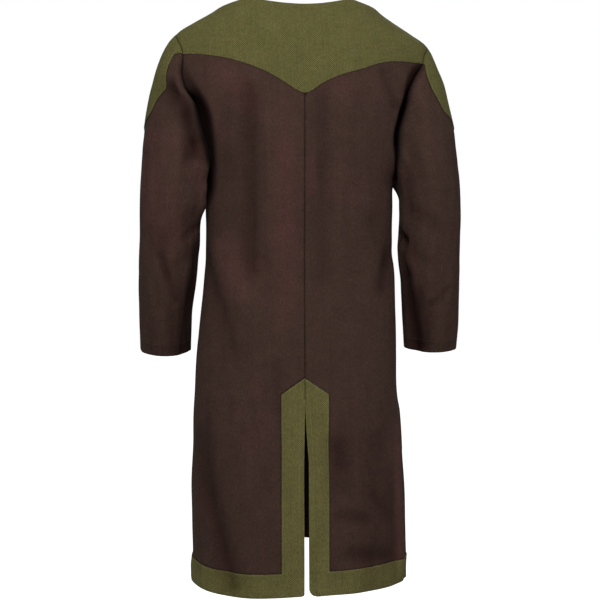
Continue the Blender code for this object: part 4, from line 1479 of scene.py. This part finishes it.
def cap_outline(side, surface):
    """The cap's outline as (row, column) places on the sleeve, from front to back by way of its tip."""
    rows, columns = surface.shape[:2]
    faces = quads(np.arange(rows * columns).reshape(rows, columns))
    tree = BVHTree.FromPolygons(surface.reshape(-1, 3).tolist(), faces.tolist())
    knots = np.array(CAP_OUTLINES[side])
    half = curve_through(np.arange(len(knots)), knots, np.linspace(0, len(knots) - 1, CAP_OUTLINE_STEPS))
    found = [(0.0, OUTER_COLUMN - HEAD_POINTS)]
    for depth, height in joined(half * (-1, 1), half[::-1]):
        hit, _, face, _ = tree.ray_cast(Vector((side * OUTSIDE, depth, height)), Vector((-side, 0, 0)))
        # The outline's ends may miss the sleeve, where it meets the yoke's corners
        if hit is None:
            continue
        row, near = divmod(face, columns - 1)
        corner, aside, below = surface[[row, row, row + 1], [near, near + 1, near]]
        legs = np.stack([aside - corner, below - corner], axis=1)
        share = np.linalg.lstsq(legs, np.array(hit) - corner, rcond=None)[0]
        found.append((row + share[1], near + share[0]))
    return np.array([*found, (0.0, OUTER_COLUMN + HEAD_POINTS)])


def make_cap(word, sleeve, outline):
    """A cap: a fan of places between the armhole and the cap's outline."""
    gone = travelled(at_places(sleeve.points, outline))
    edge = read_at(np.linspace(0, gone[-1], CAP_COLUMNS + 1), gone, outline)
    armhole = pairs(0.0, OUTER_COLUMN + HEAD_POINTS * np.linspace(-1, 1, CAP_COLUMNS + 1))
    t = np.linspace(0, 1, CAP_ROWS + 1)[:, None, None]
    points, normals, chart = (at_places(grid, armhole * (1 - t) + edge * t) for grid in sleeve)
    cap = Panel(points, unit(normals), chart)
    rise = np.clip(travelled(points).mean(axis=1) / CAP_RISES_OVER, 0, 1)
    wall = [start + rise * (end - start) for start, end in zip(CAP_START_WALL, LAID_ON_WALL, strict=True)]
    row = line_in(cap, points[-1], EDGE_STITCH_INSET, LAID_ON_WALL, from_last=True)
    sewing = f"cap_stitching_{word}"
    shell(f"sleeve_cap_{word}", cap, wall, OLIVE, [points[0]], [points[-1]], [row], sewing)


def make_stage():
    floor = bpy.data.meshes.new("floor")
    corners = (-1, -1), (1, -1), (1, 1), (-1, 1)
    floor.from_pydata([(x * STAGE_REACH, y * STAGE_REACH, FLOOR) for x, y in corners], [], [(0, 1, 2, 3)])
    floor.materials.append(paper_material())
    placed("floor", floor)
    bpy.context.scene.world = studio_world()
    for light in LIGHTS:
        lamp = bpy.data.lights.new(light.name, "AREA")
        lamp.shape = "DISK"
        lamp.size = light.size
        lamp.energy = light.power
        placed(light.name, lamp, light.place, MIDDLE)
    lens = bpy.data.cameras.new("camera")
    lens.lens = CAMERA_LENS
    lens.sensor_width = CAMERA_SENSOR
    bpy.context.scene.camera = placed("camera", lens, CAMERA_PLACE, MIDDLE)
    bpy.context.scene.view_settings.view_transform = "Standard"


Cloth = namedtuple("Cloth", "material thread slot")
BROWN, OLIVE, TRIM = (Cloth(herringbone(wool), thread_material(wool), wool.slot) for wool in WOOLS)

for side, word in ((1, "left"), (-1, "right")):
    make_back_half(side, word)
    make_sleeve(side, word)
make_front()
make_yoke("back", True)
make_yoke("front", False)
make_stage()
